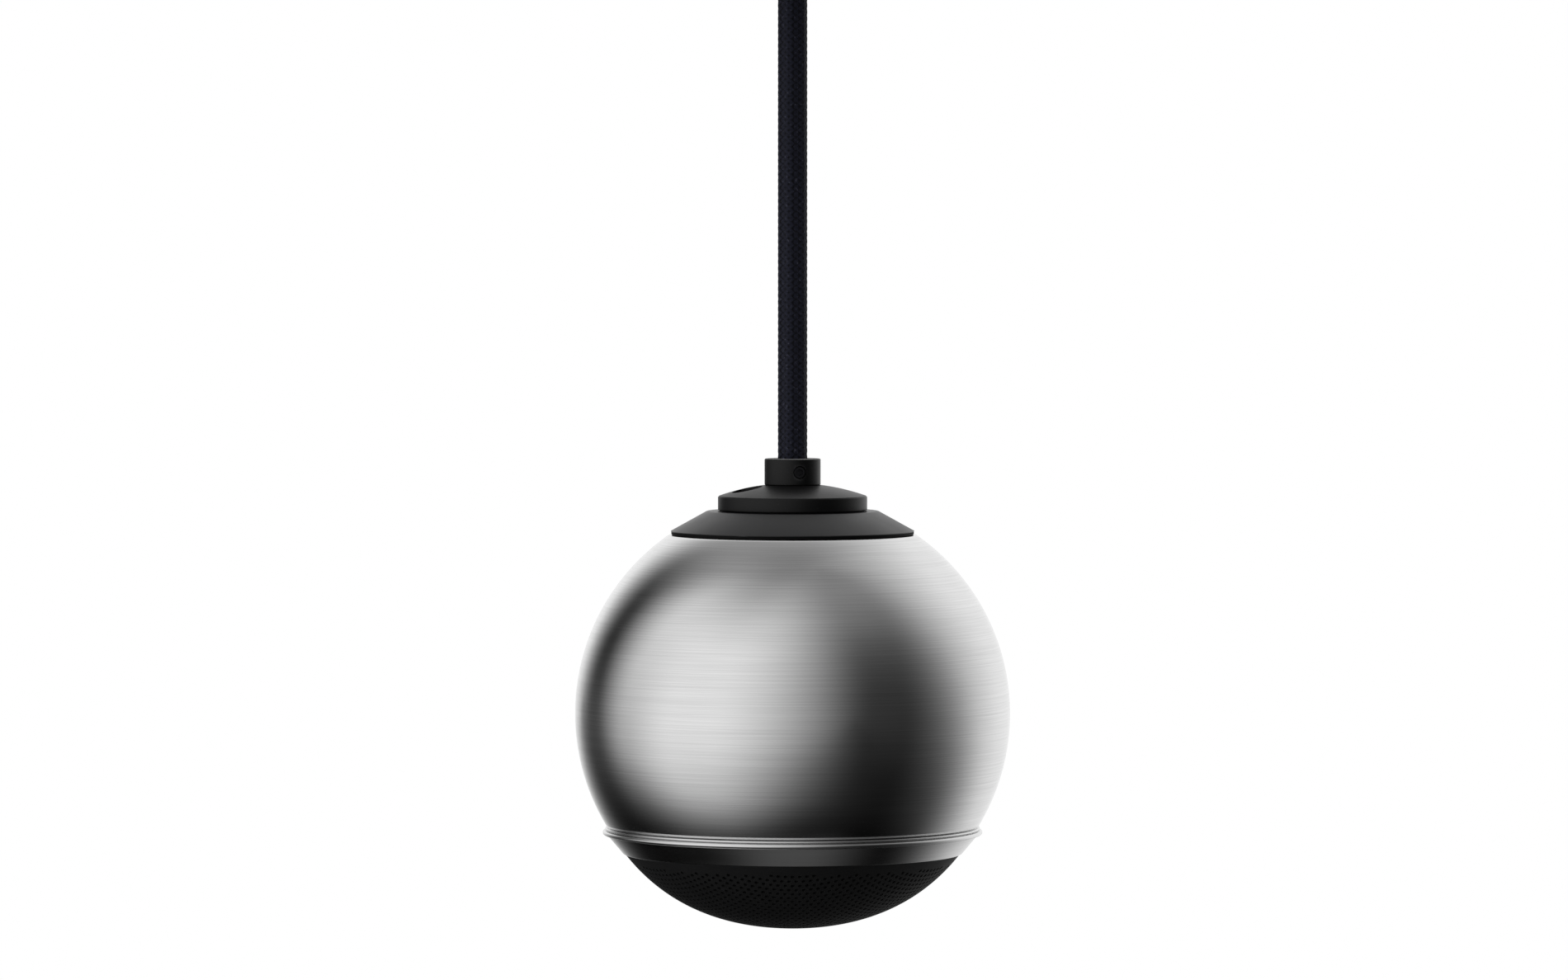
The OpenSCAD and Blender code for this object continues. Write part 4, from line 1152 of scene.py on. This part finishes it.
@dataclass(frozen=True)
class TopFittings:
    """Flange, domed cap and cord collar on the ball's top."""

    land_z: float = 41.12
    flange_r: float = 28.0
    flange_lip: float = 0.9
    rebate_wall: float = 3.0
    band_inset: float = 0.12
    flange_top_r: float = 19.7
    flange_z: float = 46.62
    spigot_r: float = 19.8
    spigot_z: float = 40.12
    bore_r: float = 5.2
    cap_z: float = 46.82
    cap_r: float = 17.15
    cap_boss_r: float = 14.15
    cap_band_h: float = 3.2
    cap_dome_r: float = 51.0
    hole_r: float = 3.5
    hole_at: float = 10.9
    hole_angle: float = 197.0
    collar_r: float = 6.45
    collar_h: float = 6.1
    collar_seat: float = 0.15
    cord_bore_r: float = 3.6
    nipple_engage: float = 1.5
    chamfer: float = 0.2
    grub_up: float = 3.1
    segments: int = 192

    def collar_z(self) -> float:
        """Returns the height of the collar's foot, where the cap's dome reaches it."""
        mid = self.cap_z + self.cap_band_h - math.sqrt(self.cap_dome_r**2 - self.cap_r**2)
        return mid + math.sqrt(self.cap_dome_r**2 - (self.collar_r + self.collar_seat) ** 2)

    def flange(self) -> bpy.types.Object:
        """Makes the flange, a cone with a rebate under its rim."""
        rebate_r, rim_z = self.flange_r - self.rebate_wall, self.land_z + self.flange_lip
        return solid_object("flange_turned", revolve(soften([
            (self.bore_r, self.spigot_z), (self.spigot_r, self.spigot_z, 0.15), (self.spigot_r, self.land_z),
            (rebate_r, self.land_z), (rebate_r, rim_z - 0.2), (self.flange_r - 0.15, rim_z - 0.2, 0.1), (self.flange_r, rim_z, 0.1),
            (self.flange_top_r, self.flange_z, 0.3), (self.bore_r, self.flange_z),
        ]), self.segments))

    def under_rim_band(self) -> bpy.types.Object:
        """Makes a very dark, dull ring that fills the rebate under the flange's rim and sits on the ball."""
        inner, outer = self.flange_r - self.rebate_wall + 0.02, self.flange_r - self.band_inset
        top = self.land_z + self.flange_lip - 0.22
        return solid_object("flange_under_rim_band", revolve(soften([
            (inner, self.land_z), (outer - 0.25, self.land_z, 0.2), (outer, self.land_z + 0.2, 0.15), (outer, top), (inner, top),
        ]), self.segments))

    def cap(self) -> bpy.types.Object:
        """Makes the cap with its domed top and the round hole through it."""
        band_z = self.cap_z + self.cap_band_h
        mid = (0.0, band_z - math.sqrt(self.cap_dome_r**2 - self.cap_r**2))
        start = math.degrees(math.acos((self.cap_r - 0.25) / self.cap_dome_r))
        stop = math.degrees(math.acos((self.collar_r + self.collar_seat) / self.cap_dome_r))
        section = soften([
            (self.bore_r, self.flange_z), (self.cap_boss_r, self.flange_z), (self.cap_boss_r, self.cap_z),
            (self.cap_r, self.cap_z, 0.25), (self.cap_r, band_z - 0.12, 0.12),
        ]) + arc(mid, self.cap_dome_r, start, stop, 22) + [(self.bore_r, self.collar_z())]
        made = solid_object("cap_turned", revolve(section, self.segments))
        place = Matrix.Rotation(math.radians(self.hole_angle), 4, "Z") @ Matrix.Translation((self.hole_at, 0, -DROP))
        bore(made, [turned_to(rod(self.hole_r, self.flange_z - 1.0, self.collar_z() + 2.0, 64), place)])
        return made

    def collar(self, name: str, low: float, thread: float, lift: float) -> bpy.types.Object:
        """Makes a collar that grips the cord.

        Args:
            name: the piece's name.
            low: height of its foot.
            thread: depth of the wider bore below, or 0 for none.
            lift: added to its heights to bring them into the row frame.

        Returns:
            The collar, with the hole of its grub screw.
        """
        high, edge = low + self.collar_h, self.chamfer
        wide = [(self.bore_r - 0.15, low), (self.bore_r - 0.15, low + thread), (self.cord_bore_r, low + thread)] if thread else [(self.cord_bore_r, low)]
        section = soften([*wide, (self.cord_bore_r, high, 0.3), (self.collar_r - edge, high, 0.12), (self.collar_r, high - edge, 0.12),
                          (self.collar_r, low + edge, 0.12), (self.collar_r - edge, low, 0.12)])
        made = solid_object(name, revolve(section, 128, lift=lift))
        bore(made, [turned_to(rod(1.5, self.cord_bore_r - 1.0, self.collar_r + 1.0, 40), along_radius(GrubScrew().angle, low + lift + self.grub_up))])
        return made

    def build(self) -> None:
        """Makes the black fittings and the grub screw."""
        finished(self.flange(), FLANGE_BLACK, ["flange_cone"], sharp=30.0)
        finished(self.under_rim_band(), UNDER_RIM_BLACK, ["flange_cone"], sharp=30.0)
        finished(self.cap(), CAP_BLACK, ["neck_cap"], sharp=30.0)
        finished(self.collar("collar_turned", self.collar_z(), self.nipple_engage, -DROP), CAP_BLACK, ["cord_collar"], sharp=30.0)
        screw = GrubScrew().make("collar_grub", self.collar_z() + self.grub_up - DROP, self.collar_r - 0.2, self.collar_r - 3.7)
        finished(screw, SCREW_BLACK, ["collar_grub_screw"], sharp=30.0)


@dataclass(frozen=True)
class CeilingFitting:
    """Cup, grip, bracket and terminals that hold the cord up."""

    cup_r: float = 40.0
    cup_h: float = 28.0
    cup_wall: float = 1.2
    cup_edge_r: float = 3.0
    grip_h: float = 6.0
    neck_h: float = 7.0
    nipple_r: float = 5.0
    bracket_w: float = 16.0
    bracket_t: float = 1.5
    ear_x: float = 37.62
    ear_h: float = 9.0
    ear_hole_z: float = -5.5
    screw_spacing: float = 50.0
    screw_hole_r: float = 2.25
    bolt_r: float = 1.9
    head_r: float = 3.6
    head_t: float = 2.0
    bolt_len: float = 5.38
    block_x: float = 6.0
    block_l: float = 14.0
    block_w: float = 13.0
    block_h: float = 10.5
    block_pitch: float = 6.0
    core_r: float = 0.8
    core_route: tuple[Place, ...] = (
        (0, 1.2, -15), (0, 1.2, -13.4), (0.7, 1.6, -10.8), (2.3, 2.5, -8.4), (4, 2.9, -7.2), (5.4, 3, -6.8), (7.6, 3, -6.8),
    )

    def cup(self) -> bpy.types.Object:
        """Makes the cup, with a rounded lower edge and a turned-in upper one."""
        mid, floor = (self.cup_r - self.cup_edge_r, self.cup_edge_r - self.cup_h), self.cup_wall - self.cup_h
        inner = self.cup_r - self.cup_wall
        section = [(self.nipple_r + PLAY, floor), (self.nipple_r + PLAY, -self.cup_h)]
        section += arc(mid, self.cup_edge_r, -90, 0, 12)
        section += [(self.cup_r, -0.25), (self.cup_r - 0.25, 0), (inner + 0.2, 0), (inner, -0.2)]
        section += arc(mid, self.cup_edge_r - self.cup_wall, 0, -90, 10)
        made = solid_object("cup_spun", revolve(section, 192, lift=0.0))
        for side in (0, 180):
            bore(made, [turned_to(rod(2.2, self.cup_r - 4.0, self.cup_r + 2.0, 32), along_radius(side, self.ear_hole_z))])
        return made

    def grip(self) -> bpy.types.Object:
        """Makes the grip under the cup, with its threaded neck."""
        top = TopFittings()
        low, high, neck = -self.cup_h - self.grip_h, -self.cup_h, self.neck_h - self.cup_h
        section = soften([
            (top.cord_bore_r, low, 0.3), (top.cord_bore_r, neck, 0.15), (self.nipple_r, neck, 0.3), (self.nipple_r, high),
            (top.collar_r - top.chamfer, high, 0.12), (top.collar_r, high - top.chamfer, 0.12),
            (top.collar_r, low + top.chamfer, 0.12), (top.collar_r - top.chamfer, low, 0.12),
        ])
        made = solid_object("grip_turned", revolve(section, 128, lift=0.0))
        hole = turned_to(rod(1.5, top.cord_bore_r - 1.0, top.collar_r + 1.0, 40), along_radius(GrubScrew().angle, low + self.grip_h / 2))
        bore(made, [hole])
        return made

    def bolts(self) -> bpy.types.Object:
        """Makes the two slotted screws through the cup's wall."""
        high, low = self.cup_r + self.head_t, self.cup_r - self.bolt_len
        section = soften([
            (0.0, low), (self.bolt_r, low, 0.3), (self.bolt_r, self.cup_r), (self.head_r, self.cup_r, 0.2), (self.head_r, high - 0.3, 0.5), (0.0, high),
        ])
        shapes, slots = [], []
        for side in (0, 180):
            lay = along_radius(side, self.ear_hole_z)
            shapes.append(turned_to(revolve(section, 48, lift=0.0, closed=False), lay))
            slots.append(turned_to(block((-0.4, -5, high - 0.9), (0.4, 5, high + 1)), lay))
        made = solid_object("cup_bolts", joined(shapes))
        bore(made, slots)
        return made

    def bracket(self) -> bpy.types.Object:
        """Makes the steel bar on the ceiling with its two bent ears."""
        t, x = self.bracket_t, self.ear_x
        half = [(x - t, -self.ear_h), (x, -self.ear_h)] + arc((x - 1.7, -1.7), 1.7, 0, 90, 6)
        inner = arc((x - t - 0.5, -t - 0.5), 0.5, 90, 0, 4)
        outline = half + [(-a, b) for a, b in reversed(half)] + [(-a, b) for a, b in reversed(inner)] + inner
        count, w = len(outline), self.bracket_w / 2
        corners = [(a, y, b) for y in (-w, w) for a, b in outline]
        faces = [(k, (k + 1) % count, count + (k + 1) % count, count + k) for k in range(count)]
        faces += [tuple(reversed(range(count))), tuple(range(count, 2 * count))]
        made = solid_object("bracket_pressed", (corners, faces))
        holes = [turned_to(rod(self.screw_hole_r, -4, 2, 40), Matrix.Translation((s * self.screw_spacing / 2, 0, 0))) for s in (-1, 1)]
        holes.append(turned_to(rod(self.bolt_r + 0.05, -45, 45, 32), along_radius(0, self.ear_hole_z)))
        bore(made, holes)
        bevelled(made, 0.18, 2)
        return made

    def terminal_body(self) -> bpy.types.Object:
        """Makes the moulded terminal block with two barrels, wire entries and screw wells."""
        high, low = -self.bracket_t, -self.bracket_t - self.block_h
        x0, x1, w = self.block_x, self.block_x + self.block_l, self.block_w / 2
        made = solid_object("block_moulded", block((x0, -w, low), (x1, w, high)))
        cuts = []
        for side in (-1, 1):
            y = side * self.block_pitch / 2
            cuts.append(turned_to(rod(1.5, x0 - 1, x1 + 1, 32), Matrix.Translation((0, y, (low + high) / 2)) @ Matrix.Rotation(math.pi / 2, 4, "Y")))
            cuts += [turned_to(rod(1.75, low - 1, low + self.block_h / 2, 32), Matrix.Translation((x0 + self.block_l * s, y, 0))) for s in (0.28, 0.72)]
        cuts += [block((x0 - 1, side * 4.0 - 6.0, low - 1), (x1 + 1, side * 4.0 + 6.0, low + 1.2)) for side in (2.3, -2.3)]
        cuts.append(block((x0 - 1, -0.5, low - 1), (x1 + 1, 0.5, low + 2.2)))
        bore(made, cuts)
        bevelled(made, 0.25, 2)
        return made

    def terminals(self) -> bpy.types.Object:
        """Makes the four slotted brass screws in the block."""
        low = -self.bracket_t - self.block_h + 0.8
        shapes, slots = [], []
        for side in (-1, 1):
            for share in (0.28, 0.72):
                move = Matrix.Translation((self.block_x + self.block_l * share, side * self.block_pitch / 2, low))
                shapes.append(turned_to(revolve(soften([(0.0, 0.0), (1.7, 0.0, 0.3), (1.7, 2.6, 0.2), (0.0, 2.6)]), 32, lift=0.0, closed=False), move))
                slots.append(turned_to(block((-0.3, -3, -1), (0.3, 3, 0.7)), move))
        made = solid_object("block_screws", joined(shapes))
        bore(made, slots)
        return made

    def core(self, side: int) -> Shape:
        """Returns one core of the cord, from its sheath to its terminal."""
        return tube(smooth_route([(x, side * y, z) for x, y, z in self.core_route]), self.core_r)

    def build(self) -> None:
        """Makes and dresses every piece of the fitting, which the ball's top doesn't mirror."""
        top = TopFittings()
        screw = GrubScrew().make("grip_grub", -self.cup_h - self.grip_h / 2, top.collar_r - 0.2, top.collar_r - 3.7)
        pieces = (
            (self.cup(), CUP_BLACK, Slot.SATIN, "ceiling_cup"),
            (self.grip(), CAP_BLACK, Slot.SATIN, "ceiling_grip"),
            (screw, SCREW_BLACK, Slot.SCREW, "ceiling_grub_screw"),
            (self.bolts(), SCREW_BLACK, Slot.SCREW, "cup_screws"),
            (self.bracket(), STEEL_PLATED, Slot.PLATED, "ceiling_bracket"),
            (self.terminal_body(), BLOCK_PLASTIC, Slot.BLOCK, "terminal_block"),
            (self.terminals(), BRASS_TURNED, Slot.BRASS, "terminal_screws"),
            (solid_object("core_red", self.core(1)), WIRE_RED, Slot.RED_WIRE, "core_positive"),
            (solid_object("core_black", self.core(-1)), WIRE_BLACK, Slot.BLACK_WIRE, "core_negative"),
        )
        for made, finish, slot, node in pieces:
            finished(made, finish, [node], sharp=30.0).visible_glossy = False


@dataclass(frozen=True)
class InnerWorks:
    """Driver, wiring and fixings inside the ball, whose CAD shapes are kept."""

    dressed: ClassVar[dict[str, Finish]] = {
        "hollow_nipple": BRASS_TURNED, "clamp_plate": STEEL_PLATED, "lock_nut": BRASS_TURNED, "cord_inner_end": YARN,
        "inner_cord_stop": STEEL_PLATED, "driver_basket": BASKET_BLACK, "driver_gasket": GASKET_FOAM, "driver_screws": SCREW_BLACK,
        "front_plate": STEEL_PLATED, "magnet_ring": FERRITE, "back_plate": STEEL_PLATED, "voice_coil_former": FORMER_PAPER,
        "voice_coil": COPPER_WIRE, "spider": SPIDER_CLOTH, "cone": CONE_PAPER, "surround": SURROUND_RUBBER, "dust_cap": CONE_PAPER,
        "terminal_board": BOARD_LAMINATE, "tinsel_leads": COPPER_WIRE, "wadding": WADDING_FIBRE,
        "ceiling_grip_nut": BRASS_TURNED, "ceiling_cord_stop": STEEL_PLATED,
    }
    lead_r: float = 0.9
    lead_route: tuple[Place, ...] = (
        (0, 1.1, 27.1), (0, 1.1, 23), (0.7, 1.5, 14.5), (2.6, 1.9, 10.4), (6, 2.2, 8.9), (12, 3, 8.4),
        (20, 3.4, 8.2), (25, 3.5, 6.4), (27.2, 3.5, 1), (27.4, 3.5, -6), (27.4, 3.5, -13.3),
    )

    def build(self) -> None:
        """Dresses the kept CAD nodes, those of the ceiling out of the ball's mirror, and makes the two leads."""
        for name, finish in self.dressed.items():
            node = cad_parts[name]
            node.data.materials.clear()
            node.data.materials.append(finish.material())
            node.visible_glossy = not name.startswith("ceiling")
            LOG.info("%s: CAD node dressed in %s", name, finish.name)
        for side, name, finish, slot, node in ((1, "lead_red", WIRE_RED, Slot.RED_WIRE, "lead_positive"), (-1, "lead_black", WIRE_BLACK, Slot.BLACK_WIRE, "lead_negative")):
            route = smooth_route([(x, side * y, z - DROP) for x, y, z in self.lead_route])
            finished(solid_object(name, tube(route, self.lead_r)), finish, [node], sharp=60.0)


def main() -> None:
    """Builds the speaker's looks round the frame."""
    logging.basicConfig(level=logging.INFO, format="%(message)s")
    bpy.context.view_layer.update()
    for make_group in (group_turned_lines, group_handling, group_grain, group_threads):
        make_group()
    for part in (Studio(), CeilingFitting(), HangingCord(), Ball(), Grille(), TopFittings(), InnerWorks()):
        part.build()


if __name__ == "__main__":
    main()
